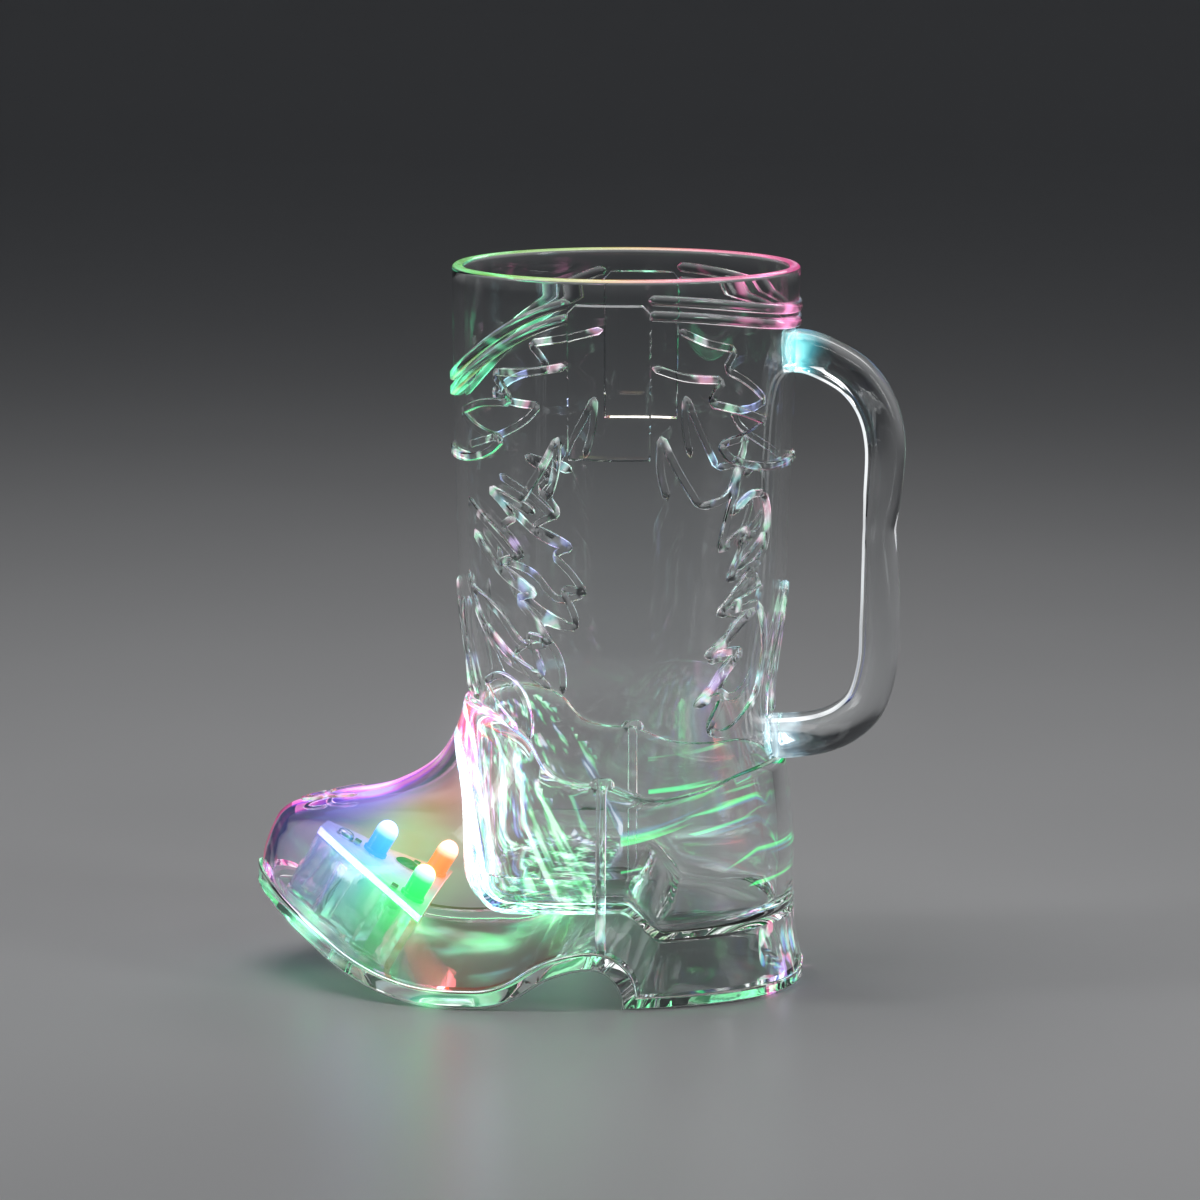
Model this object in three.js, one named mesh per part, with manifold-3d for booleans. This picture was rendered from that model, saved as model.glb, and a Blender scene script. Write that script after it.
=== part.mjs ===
// A clear moulded drinking cup in the shape of a western boot, with a battery light in its toe.
// Millimetres. The toe points to -X, the handle to +X, +Z is up and the cup stands on z = 0.
import * as THREE from "three";
import { mergeVertices } from "three/addons/utils/BufferGeometryUtils.js";
import Module from "manifold-3d";

const wasm = await Module();
wasm.setup();

// Clearances
const SEAM_GAP = 0.3;
const FIT_GAP = 0.3;

// Shaft, measured from its axis
const CUP_HEIGHT = 166;
const RIM_RADIUS = 40;
const WALL = 2.6;
const CALF_HEIGHT = 115;
const CALF_FRONT = 39.2;
const CALF_BACK = 38;
const CALF_HALF_WIDTH = 38.8;
const SHIN_HEIGHT = 90;
const SHIN_FRONT = 38.4;
const SHIN_BACK = 37;
const SHIN_HALF_WIDTH = 37.6;
const ANKLE_HEIGHT = 65;
const ANKLE_FRONT = 36.3;
const ANKLE_BACK = 34.2;
const ANKLE_HALF_WIDTH = 35;

// Foot, measured from the shaft's axis
const TOE_REACH = 85;
const FOOT_HALF_WIDTH = 41.5;
const HEEL_REACH = 39;
const HEEL_FLARE = 2.5;
const INSTEP_RISE = 50;
const VAMP_RISE = 42.7;
const TOE_RISE = 39.7;
const TOE_EDGE_RISE = 32;
const LAYER = 0.9;

// Raised work on the shaft
const STRAP_WIDTH = 19;
const STRAP_LENGTH = 35;
const STRAP_DROP = 5.5;
const STRAP_CORNER = 2;
const COLLAR_WIDTH = 4;
const COLLAR_TOP_DROP = 3;
const COLLAR_FRONT_DROP = 25;
const COLLAR_BACK_DROP = 8;
const COLLAR_RELIEF = 0.6;
const SIDE_SEAM_PLACE = -1.5;
const SIDE_SEAM_WIDTH = 2.4;
const SIDE_SEAM_RELIEF = 0.7;
const VAMP_SIDE_HEIGHT = 51;
const STITCH_WIDTH = 2.1;
const STITCH_RELIEF = 0.8;

// Runs of raised stitches on each side of the shaft: degrees round from the middle of the side
// towards the handle, and drops from the rim.
const STITCH_RUNS = [
  [[14, 19.5], [39, 23], [34, 28], [60, 33.5], [38, 37.5], [56, 43.5]],
  [[19.5, 49.5], [17, 35], [31, 51.5], [46.5, 42.5], [39, 62]],
  [[39, 62], [57, 63], [39, 76.5], [60, 75], [33, 97], [38, 103.5], [62, 97]],
  [[-14, 19.5], [-43, 22], [-35, 28.5], [-64, 32.5], [-39, 37], [-58, 42.5]],
  [[-21, 50], [-17, 35.5], [-32, 51], [-46, 48.5], [-31, 63], [-43, 65.7]],
  [[-43, 65.7], [-26, 71.6], [-21, 82.7], [-25, 90.6], [-45, 86], [-62, 69]],
];

// Sole and heel
const WELT = 1.6;
const SOLE_EDGE = 4.2;
const SOLE_FLOOR = 2.6;
const TOE_SPRING_RADIUS = 56;
const TOE_RAMP = THREE.MathUtils.degToRad(30);
const BALL_SETBACK = 47;
const BALL_FLAT = 7;
const ARCH_RISE = 9;
const ARCH_END = 4;
const BREAST_RUN = 7.4;
const BREAST_WALL = 3.2;
const HEEL_CAP = 2.6;

// Drinking vessel
const VESSEL_FLOOR = 16;
const VESSEL_STEP = 7.5;
const STEP_PLACE = 3;
const FLOOR_WALL = 2.5;
const PARTITION = 2.2;
const LAMP_ROOM = 50.5;

// Handle
const HANDLE_REACH = 64.6;
const HANDLE_TOP = 146.2;
const HANDLE_BOTTOM = 56.8;
const HANDLE_DEPTH = 9.6;
const HANDLE_WIDTH = 14;
const HANDLE_WAIST = 1.8;
const HANDLE_ROOT_FLARE = 1.3;
const HANDLE_SINK = 6;
const HANDLE_BOW = 0.9;
const HANDLE_TOP_BEND = 20;
const HANDLE_LOW_BEND = 27;

// Light module, measured in its own frame: x runs down the toe ramp, z stands off it
const MODULE_SETBACK = 24.5;
const TRAY_FRONT = 21;
const TRAY_REAR = 9.3;
const TRAY_FRONT_HALF = 5;
const TRAY_REAR_HALF = 26;
const TRAY_WALL = 1.4;
const TRAY_FLOOR = 1.2;
const TRAY_RIB = 2.4;
const BOARD_RISE = 15.5;
const BOARD_THICK = 1.6;
const POST_RADIUS = 2.2;
const POST_REAR = 5.5;
const POST_FRONT = -15.4;
const SCREW_RADIUS = 1;
const SCREW_HEAD_RADIUS = 2;
const SCREW_HEAD = 1.3;
const SCREW_LENGTH = 7;

// Lamps
const LAMP_RADIUS = 2.5;
const LAMP_FLANGE_RADIUS = 2.9;
const LAMP_FLANGE = 1;
const LAMP_HEIGHT = 8.6;
const LAMP_LEG = 0.5;
const LAMP_LEG_PITCH = 2.54;
const LAMP_LEG_BELOW = 1.2;
const LAMP_STANDOFF = 0.4;
const RESISTOR = { length: 3.2, width: 1.6, height: 0.6, setback: 4.6 };
const CHIP = { radius: 3, height: 1.6, x: 0, y: 7 };

// Button cells and their bay
const CELL_RADIUS = 5.8;
const CELL_LENGTH = 5.4;
const CELL_GAP = 0.3;
const CELL_COUNT = 3;
const BAY_X = -5.6;
const BAY_WALL = 1.2;
const CONTACT_THICK = 0.4;
const CONTACT_WIDTH = 8;
const CONTACT_TAB = 3;

// Battery door and its screw
const DOOR_THICK = 1.1;
const DOOR_LEDGE = 1.6;
const DOOR_TONGUE = 0.6;
const DOOR_LUG = 6;
const DOOR_SCREW_RADIUS = 0.85;
const DOOR_SCREW_HEAD_RADIUS = 1.8;
const DOOR_SCREW_HEAD = 0.7;
const DOOR_SCREW_LENGTH = 5;
const DOOR_BOSS_HEIGHT = 5.5;

// Push button and the switch that it works
const BUTTON_X = 1.6;
const BUTTON_Y = -14.3;
const BUTTON_RADIUS = 2.8;
const BUTTON_PROUD = 0.5;
const BUTTON_FLANGE = 1;
const BUTTON_FLANGE_RADIUS = 3.6;
const BUTTON_STEM_RADIUS = 1.8;
const BUTTON_TRAVEL = 0.8;
const SWITCH_SIDE = 4.5;
const SWITCH_HEIGHT = 3.4;
const PLUNGER_RADIUS = 1.2;
const PLUNGER_OUT = 1;
const PLUNGER_IN = 1;

// Facets
const COLUMNS = 40;
const INNER_COLUMNS = 28;
const ROUND = 16;
const FINE_ROUND = 12;
const FAR = 120;

const CLEAR = { color: 0xe9eff2, roughness: 0.04, metalness: 0, transparent: true, opacity: 0.35 };
const FROSTED = { color: 0xdfe6ea, roughness: 0.35, metalness: 0, transparent: true, opacity: 0.7 };
const STEEL = { color: 0xb9bcc0, roughness: 0.3, metalness: 1 };
const DARK = { color: 0x1b1c1f, roughness: 0.5, metalness: 0 };

// Solids from closed geometry, and back again

function solid(geometry) {
  const bare = new THREE.BufferGeometry();
  bare.setAttribute("position", geometry.getAttribute("position"));
  bare.setIndex(geometry.getIndex());
  const merged = mergeVertices(bare, 1e-4);
  const mesh = new wasm.Mesh({
    numProp: 3,
    vertProperties: merged.getAttribute("position").array,
    triVerts: new Uint32Array(merged.getIndex().array),
  });
  return new wasm.Manifold(mesh);
}

function geometryOf(body) {
  const mesh = body.getMesh();
  const geometry = new THREE.BufferGeometry();
  geometry.setAttribute("position", new THREE.BufferAttribute(mesh.vertProperties, 3));
  geometry.setIndex(new THREE.BufferAttribute(mesh.triVerts, 1));
  geometry.computeVertexNormals();
  return geometry;
}

function piece(name, body, look, parent) {
  const geometry = body.isBufferGeometry ? body : geometryOf(body);
  const mesh = new THREE.Mesh(geometry, new THREE.MeshStandardMaterial(look));
  mesh.name = name;
  parent.add(mesh);
  return mesh;
}

function box(x0, x1, y0, y1, z0, z1) {
  const shape = new THREE.BoxGeometry(x1 - x0, y1 - y0, z1 - z0);
  return solid(shape.translate((x0 + x1) / 2, (y0 + y1) / 2, (z0 + z1) / 2));
}

// A round bar along z, from z0 to z1.
function bar(radius, x, y, z0, z1, sides = ROUND) {
  const shape = new THREE.CylinderGeometry(radius, radius, z1 - z0, sides);
  return solid(shape.rotateX(Math.PI / 2).translate(x, y, (z0 + z1) / 2));
}

// A turned piece about z from [radius, height] pairs that start and end on the axis.
function turned(profile, sides = ROUND) {
  const points = profile.map(([r, h]) => new THREE.Vector2(r, h));
  return new THREE.LatheGeometry(points, sides).rotateX(Math.PI / 2);
}

// An outline in the xz plane, drawn out to both sides along y.
function acrossY(points, halfWidth) {
  const shape = new THREE.Shape(points.map(([x, z]) => new THREE.Vector2(x, z)));
  const settings = { depth: 2 * halfWidth, bevelEnabled: false };
  const geometry = new THREE.ExtrudeGeometry(shape, settings);
  return solid(geometry.rotateX(Math.PI / 2).translate(0, halfWidth, 0));
}

// An outline in the xy plane, drawn up from z0 to z1.
function upZ(points, z0, z1) {
  const shape = new THREE.Shape(points.map(([x, y]) => new THREE.Vector2(x, y)));
  const geometry = new THREE.ExtrudeGeometry(shape, { depth: z1 - z0, bevelEnabled: false });
  return solid(geometry.translate(0, 0, z0));
}

// A closed skin through rings of points that run counter-clockwise, from the lowest ring up.
function loft(rings) {
  const count = rings[0].length;
  const positions = [];
  const faces = [];
  for (const ring of rings) {
    for (const p of ring) positions.push(p.x, p.y, p.z);
  }
  for (let i = 0; i + 1 < rings.length; i++) {
    for (let j = 0; j < count; j++) {
      const k = (j + 1) % count;
      const low = [i * count + j, i * count + k];
      const high = [(i + 1) * count + j, (i + 1) * count + k];
      faces.push(low[0], low[1], high[1], low[0], high[1], high[0]);
    }
  }
  const ends = [[0, rings[0], true], [rings.length - 1, rings.at(-1), false]];
  for (const [row, ring, under] of ends) {
    const middle = new THREE.Vector3();
    for (const p of ring) middle.addScaledVector(p, 1 / count);
    const centre = positions.length / 3;
    positions.push(middle.x, middle.y, middle.z);
    for (let j = 0; j < count; j++) {
      const a = row * count + j;
      const b = row * count + ((j + 1) % count);
      faces.push(centre, under ? b : a, under ? a : b);
    }
  }
  const geometry = new THREE.BufferGeometry();
  geometry.setAttribute("position", new THREE.Float32BufferAttribute(positions, 3));
  geometry.setIndex(faces);
  return solid(geometry);
}

// Boot form

// One oval ring of the boot. Its front and back halves have their own reach, height and fullness.
function station(s, column, columns = COLUMNS) {
  const angle = (column / columns) * 2 * Math.PI;
  const c = Math.cos(angle);
  const sine = Math.sin(angle);
  const ahead = c < 0;
  const reach = ahead ? s.front + s.centre : s.back - s.centre;
  const power = 2 / (ahead ? s.frontPower : s.backPower);
  const x = s.centre + Math.sign(c) * reach * Math.abs(c) ** power;
  const y = s.half * Math.sign(sine) * Math.abs(sine) ** power;
  const z = s.sideZ + ((ahead ? s.frontZ : s.backZ) - s.sideZ) * c * c;
  return new THREE.Vector3(x, y, z);
}

function level(z, front, back, half) {
  const oval = { centre: 0, front, back, half, frontPower: 2, backPower: 2 };
  return { ...oval, frontZ: z, sideZ: z, backZ: z };
}

const SHAFT_STATIONS = [
  level(CUP_HEIGHT, RIM_RADIUS, RIM_RADIUS, RIM_RADIUS),
  level(CALF_HEIGHT, CALF_FRONT, CALF_BACK, CALF_HALF_WIDTH),
  level(SHIN_HEIGHT, SHIN_FRONT, SHIN_BACK, SHIN_HALF_WIDTH),
  level(ANKLE_HEIGHT, ANKLE_FRONT, ANKLE_BACK, ANKLE_HALF_WIDTH),
];

function footStation(centre, front, back, slim, heights, frontPower, backPower) {
  const [frontZ, sideZ, backZ] = heights;
  const half = FOOT_HALF_WIDTH - slim;
  return { centre, front, back, half, frontZ, sideZ, backZ, frontPower, backPower };
}

// Rings that fan out from the ankle over the instep to the toe, then drop to the ground.
const FOOT_STATIONS = [
  footStation(-4, ANKLE_FRONT + 6.3, HEEL_REACH - 2.8, 4, [INSTEP_RISE, 50, 53], 2, 2),
  footStation(-14, TOE_REACH - 31.2, HEEL_REACH - 0.8, 2, [VAMP_RISE, 37, 39], 1.8, 2.2),
  footStation(-24, TOE_REACH - 16.6, HEEL_REACH - 0.2, 0.5, [TOE_RISE, 27, 28], 1.7, 2.3),
  footStation(-30, TOE_REACH - 5.4, HEEL_REACH - 0.2, 0.2, [TOE_RISE - 3.4, 19, 20], 1.65, 2.4),
  footStation(-33, TOE_REACH - 2.6, HEEL_REACH - 0.1, 0.1, [TOE_EDGE_RISE, 13, 15], 1.6, 2.5),
  footStation(-34, TOE_REACH, HEEL_REACH, 0, [TOE_EDGE_RISE - 9, 6, 11], 1.6, 2.5),
  footStation(-34, TOE_REACH, HEEL_REACH + HEEL_FLARE, 0, [-6, -6, -1], 1.6, 2.5),
];
const STEPS_BETWEEN = [1, 1, 2, 3, 3, 3, 3, 2, 2, 1];

// Rings of the boot's outer form from the ground up, each point moved out by a distance.
function bootRings(out, count) {
  const stations = [...SHAFT_STATIONS, ...FOOT_STATIONS];
  const columns = Array.from({ length: count }, (_, j) => {
    const points = stations.map((s) => station(s, j, count));
    return new THREE.CatmullRomCurve3(points, false, "centripetal");
  });
  const spans = stations.length - 1;
  const places = [0];
  STEPS_BETWEEN.forEach((steps, i) => {
    for (let k = 1; k <= steps; k++) places.push((i + k / steps) / spans);
  });
  const rows = places.map((t) => columns.map((curve) => curve.getPoint(t))).reverse();
  const moved = rows.map((row, i) => row.map((p, j) => {
    const round = row[(j + 1) % count].clone().sub(row[(j + count - 1) % count]);
    const above = rows[Math.min(i + 1, rows.length - 1)][j];
    const below = rows[Math.max(i - 1, 0)][j];
    const normal = round.cross(above.clone().sub(below)).normalize();
    return p.clone().addScaledVector(normal, out);
  }));
  const lift = (row, z) => row.map((p) => new THREE.Vector3(p.x, p.y, z));
  const ground = lift(moved[0], -FAR / 4);
  const rim = lift(moved.at(-1), CUP_HEIGHT);
  return [ground, ...moved.slice(1, -1), rim];
}

function bootForm(out, topZ = CUP_HEIGHT, count = COLUMNS) {
  const rings = bootRings(out, count);
  if (topZ > CUP_HEIGHT) {
    rings.push(rings.at(-1).map((p) => new THREE.Vector3(p.x, p.y, topZ)));
  }
  return loft(rings);
}

// Sole line, as a line offset up from the ground face by a distance, from beyond the toe to the heel

const BALL_FRONT = -(TOE_REACH - BALL_SETBACK);
const BALL_BACK = BALL_FRONT + BALL_FLAT;
const ARCH_RUN = -ARCH_END - BALL_BACK;
const ARCH_RADIUS = (ARCH_RUN ** 2 + ARCH_RISE ** 2) / (4 * ARCH_RISE);
const ARCH_TURN = 2 * Math.atan(ARCH_RISE / ARCH_RUN);

function arc(cx, cz, radius, from, to, steps) {
  return Array.from({ length: steps + 1 }, (_, i) => {
    const a = from + ((to - from) * i) / steps;
    return [cx + radius * Math.cos(a), cz + radius * Math.sin(a)];
  });
}

function soleLine(up) {
  const down = -Math.PI / 2;
  const spring = arc(BALL_FRONT, TOE_SPRING_RADIUS, TOE_SPRING_RADIUS - up, down - TOE_RAMP, down, 8);
  const [rampX, rampZ] = spring[0];
  const tip = [rampX - FAR * Math.cos(TOE_RAMP), rampZ + FAR * Math.sin(TOE_RAMP)];
  const rise = arc(BALL_BACK, ARCH_RADIUS, ARCH_RADIUS - up, down, down + ARCH_TURN, 5);
  const crestZ = ARCH_RISE - ARCH_RADIUS;
  const crest = arc(-ARCH_END, crestZ, ARCH_RADIUS + up, Math.PI / 2 + ARCH_TURN, Math.PI / 2, 5);
  return [tip, ...spring, ...rise, ...crest.slice(1)];
}

// The same line carried on down the hollow front of the heel and back along the heel's ground face.
function baseLine(up) {
  const thick = up / SOLE_EDGE;
  const heelZ = HEEL_CAP * Math.min(thick, 1) + Math.max(up - SOLE_EDGE, 0);
  const run = BREAST_RUN + BREAST_WALL * thick;
  const drop = ARCH_RISE + up - heelZ;
  const steps = 7;
  const breast = Array.from({ length: steps }, (_, i) => {
    const a = (((i + 1) / steps) * Math.PI) / 2;
    return [-ARCH_END + run * Math.sin(a), heelZ + drop * Math.cos(a)];
  });
  return [...soleLine(up), ...breast, [FAR, heelZ]];
}

// Boot body

const STRAP_TOP = CUP_HEIGHT - STRAP_DROP;

function strapOutline() {
  const half = STRAP_WIDTH / 2;
  const shoulder = STRAP_TOP - STRAP_CORNER;
  const foot = STRAP_TOP - STRAP_LENGTH;
  const top = half - STRAP_CORNER;
  const right = [[half, foot], [half, shoulder], [top, STRAP_TOP]];
  const left = right.map(([x, z]) => [-x, z]).reverse();
  return [...right, ...left];
}

// Height of the scalloped collar above a place on the x axis: it dips at the front and the back.
function collarHeight(x) {
  const drop = x < 0 ? COLLAR_FRONT_DROP : COLLAR_BACK_DROP;
  const share = Math.min(Math.abs(x) / RIM_RADIUS, 1);
  return CUP_HEIGHT - COLLAR_TOP_DROP - (drop - COLLAR_TOP_DROP) * share ** 2;
}

function collarOutline() {
  const steps = 12;
  const xs = Array.from({ length: steps + 1 }, (_, i) => (2 * i / steps - 1) * (RIM_RADIUS + LAYER));
  const top = xs.map((x) => [x, collarHeight(x)]);
  const foot = xs.map((x) => [x, collarHeight(x) - COLLAR_WIDTH]);
  return [...foot, ...top.reverse()];
}

// Everything under the line where the vamp and the counter overlap the shaft.
function vampOutline() {
  const side = VAMP_SIDE_HEIGHT;
  const front = side + 14;
  const vamp = [[-FAR, front], [-ANKLE_FRONT, front], [-19, side + 9], [-14, side + 2]];
  const counter = [[SIDE_SEAM_PLACE, side], [9, side - 3.5], [20, side - 2], [30, side + 1], [FAR, side + 3]];
  return [[FAR, -FAR], ...[...vamp, ...counter].reverse(), [-FAR, -FAR]];
}

// Outlines of the stitches, seen from the side: each is a band that keeps its width round the shaft.
function stitchOutlines() {
  const radius = (RIM_RADIUS + SHIN_HALF_WIDTH) / 2;
  const half = STITCH_WIDTH / 2;
  const flat = ([degrees, drop]) => {
    return new THREE.Vector2(THREE.MathUtils.degToRad(degrees) * radius, CUP_HEIGHT - drop);
  };
  const seen = (p) => [radius * Math.sin(p.x / radius), p.y];
  return STITCH_RUNS.flatMap((run) => run.slice(1).map((point, i) => {
    const [a, b] = [flat(run[i]), flat(point)];
    const along = b.clone().sub(a).setLength(half);
    const across = new THREE.Vector2(-along.y, along.x);
    a.sub(along.clone().multiplyScalar(0.5));
    b.add(along.clone().multiplyScalar(0.5));
    const low = [a.clone().sub(across), b.clone().sub(across)];
    const high = [b.clone().add(across), a.clone().add(across)];
    return [...low, ...high].map(seen);
  }));
}

function stitchWork() {
  const bands = stitchOutlines().map((outline) => acrossY(outline, FAR));
  return bands.reduce((all, band) => all.add(band)).intersect(bootForm(STITCH_RELIEF));
}

function sideSeamOutline() {
  const half = SIDE_SEAM_WIDTH / 2;
  const top = VAMP_SIDE_HEIGHT + half;
  const right = [[SIDE_SEAM_PLACE + half, -FAR / 8], [SIDE_SEAM_PLACE + half, top]];
  const left = [[SIDE_SEAM_PLACE - half, top], [SIDE_SEAM_PLACE - half, -FAR / 8]];
  return [...right, ...left];
}

function vesselZone(grow) {
  const front = TOE_REACH - LAMP_ROOM + grow;
  const wide = { back: FAR, half: RIM_RADIUS * 1.5, frontPower: 2, backPower: 2, centre: 0 };
  const reaches = [[-FAR, front], [ANKLE_HEIGHT, front], [ANKLE_HEIGHT + 2, FAR], [2 * FAR, FAR]];
  const rings = reaches.map(([z, reach]) => {
    const s = { ...wide, front: reach, frontZ: z, sideZ: z, backZ: z };
    return Array.from({ length: INNER_COLUMNS }, (_, j) => station(s, j, INNER_COLUMNS));
  });
  const floor = VESSEL_FLOOR - (grow ? FLOOR_WALL : 0);
  const start = STEP_PLACE - grow;
  const step = arc(start, floor, VESSEL_STEP, Math.PI / 2, 0, 6);
  const above = [[-FAR, floor + VESSEL_STEP], ...step, [FAR, floor], [FAR, 2 * FAR], [-FAR, 2 * FAR]];
  return loft(rings).intersect(acrossY(above, FAR));
}

const grownForm = bootForm(LAYER);
const collarForm = bootForm(COLLAR_RELIEF);
const outerForm = bootForm(0)
  .add(collarForm.intersect(acrossY(collarOutline(), FAR)))
  .add(grownForm.intersect(acrossY(strapOutline(), FAR)))
  .add(grownForm.intersect(acrossY(vampOutline(), FAR)))
  .add(stitchWork())
  .add(bootForm(LAYER + SIDE_SEAM_RELIEF).intersect(acrossY(sideSeamOutline(), FAR)));

function bootBody() {
  const inside = bootForm(-WALL, CUP_HEIGHT + 5, INNER_COLUMNS);
  const vessel = inside.intersect(vesselZone(0));
  const hollow = inside.subtract(vesselZone(PARTITION));
  const below = acrossY([...baseLine(SOLE_EDGE + SEAM_GAP), [FAR, -FAR], [-2 * FAR, -FAR]], FAR);
  return outerForm.subtract(vessel).subtract(hollow).subtract(below);
}

// Handle

// Stations down the handle: place along its middle line, depth in its plane and width across it.
function handleStations() {
  const outer = HANDLE_REACH - HANDLE_DEPTH / 2;
  const drop = HANDLE_TOP - HANDLE_BOTTOM;
  const high = ([back, down]) => [outer - back * HANDLE_TOP_BEND, HANDLE_TOP - down * HANDLE_TOP_BEND, 0];
  const low = ([back, up]) => [outer - back * HANDLE_LOW_BEND, HANDLE_BOTTOM + up * HANDLE_LOW_BEND, 0];
  const bow = (share, down, swell) => [outer - share * HANDLE_BOW, HANDLE_TOP - drop * down, swell];
  const path = [
    [RIM_RADIUS - HANDLE_SINK, HANDLE_TOP, 0.6],
    [RIM_RADIUS + HANDLE_SINK / 6, HANDLE_TOP, 0.4],
    ...[[0.65, 0.1], [0.33, 0.3], [0.11, 0.6], [0, 1]].map(high),
    bow(0.45, 0.37, -0.4),
    bow(1, 0.45, -1),
    bow(0.8, 0.55, -0.5),
    ...[[0.022, 1], [0.04, 0.63], [0.14, 0.3], [0.3, 0.133], [0.5, 0.044]].map(low),
    [ANKLE_BACK + HANDLE_SINK * 2 / 3, HANDLE_BOTTOM, 0.5],
    [ANKLE_BACK - HANDLE_SINK, HANDLE_BOTTOM, 1],
  ];
  return path.map(([x, z, swell]) => {
    const depth = HANDLE_DEPTH + (swell < 0 ? HANDLE_WAIST * swell : 0);
    const width = HANDLE_WIDTH * (1 + Math.max(swell, 0) * (HANDLE_ROOT_FLARE - 1));
    return { x, z, depth, width };
  });
}

function handle() {
  const stations = handleStations();
  const line = new THREE.CatmullRomCurve3(stations.map((s) => new THREE.Vector3(s.x, 0, s.z)));
  const spans = stations.length - 1;
  const steps = spans * 2;
  const sides = 14;
  const fullness = 2 / 2.7;
  const rings = Array.from({ length: steps + 1 }, (_, i) => {
    const t = i / steps;
    const k = Math.min(Math.floor(t * spans), spans - 1);
    const share = t * spans - k;
    const depth = THREE.MathUtils.lerp(stations[k].depth, stations[k + 1].depth, share);
    const width = THREE.MathUtils.lerp(stations[k].width, stations[k + 1].width, share);
    const middle = line.getPoint(t);
    const along = line.getTangent(t);
    const across = new THREE.Vector3(along.z, 0, -along.x);
    return Array.from({ length: sides }, (_, j) => {
      const a = (j / sides) * 2 * Math.PI;
      const c = Math.cos(a);
      const sine = Math.sin(a);
      const out = (depth / 2) * Math.sign(c) * Math.abs(c) ** fullness;
      const side = (width / 2) * Math.sign(sine) * Math.abs(sine) ** fullness;
      return middle.clone().addScaledVector(across, out).add(new THREE.Vector3(0, side, 0));
    });
  });
  const bodyCut = bootForm(LAYER + SEAM_GAP);
  return loft(rings).subtract(bodyCut);
}

// Base plate, and the frame of the light module on its ramp

function soleOutline(inset) {
  const plan = { ...FOOT_STATIONS.at(-1), frontZ: 0, sideZ: 0, backZ: 0 };
  plan.front += WELT - inset;
  plan.half += WELT - inset;
  return Array.from({ length: COLUMNS }, (_, j) => station(plan, j)).map((p) => [p.x, p.y]);
}

const MODULE_PLACE = (() => {
  const [rampX, rampZ] = soleLine(SOLE_FLOOR)[1];
  const x = -TOE_REACH + MODULE_SETBACK;
  return new THREE.Vector3(x, 0, rampZ + (rampX - x) * Math.tan(TOE_RAMP));
})();
const MODULE_FRAME = new THREE.Matrix4().makeRotationY(TOE_RAMP).setPosition(MODULE_PLACE);
const MODULE_FRAME_BACK = MODULE_FRAME.clone().invert();

function moved(body, matrix) {
  return solid(geometryOf(body).applyMatrix4(matrix));
}

const CELL_STACK = CELL_COUNT * CELL_LENGTH + (CELL_COUNT - 1) * CELL_GAP;
const CELL_RISE = CELL_RADIUS + 0.5;
const BAY_HALF_X = CELL_RADIUS + 0.4;
const CONTACT_PLACE = CELL_STACK / 2 + FIT_GAP;
const BAY_HALF_Y = CONTACT_PLACE + CONTACT_THICK + FIT_GAP;
const BAY_CEILING = CELL_RISE + CELL_RADIUS + 0.4;
const DOOR_SCREW_Y = BAY_HALF_Y + BAY_WALL + FIT_GAP + 2.6;
const DOOR_BOSS_RADIUS = DOOR_SCREW_RADIUS + FIT_GAP + 1.2;
const SOLE_BOTTOM = -SOLE_FLOOR;
const DOOR_SEAT = SOLE_BOTTOM + DOOR_THICK;

function doorPlan(clear) {
  const x = BAY_HALF_X + DOOR_LEDGE + clear;
  const lug = DOOR_LUG / 2 + clear;
  const near = -BAY_HALF_Y - DOOR_TONGUE - clear;
  const far = BAY_HALF_Y + DOOR_LEDGE + clear;
  const end = DOOR_SCREW_Y + DOOR_LUG / 2 + clear;
  const half = [[x, near], [x, far], [lug, far], [lug, end]];
  const other = half.map(([a, b]) => [-a, b]).reverse();
  return [...half, ...other].map(([a, b]) => [BAY_X + a, b]);
}

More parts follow.
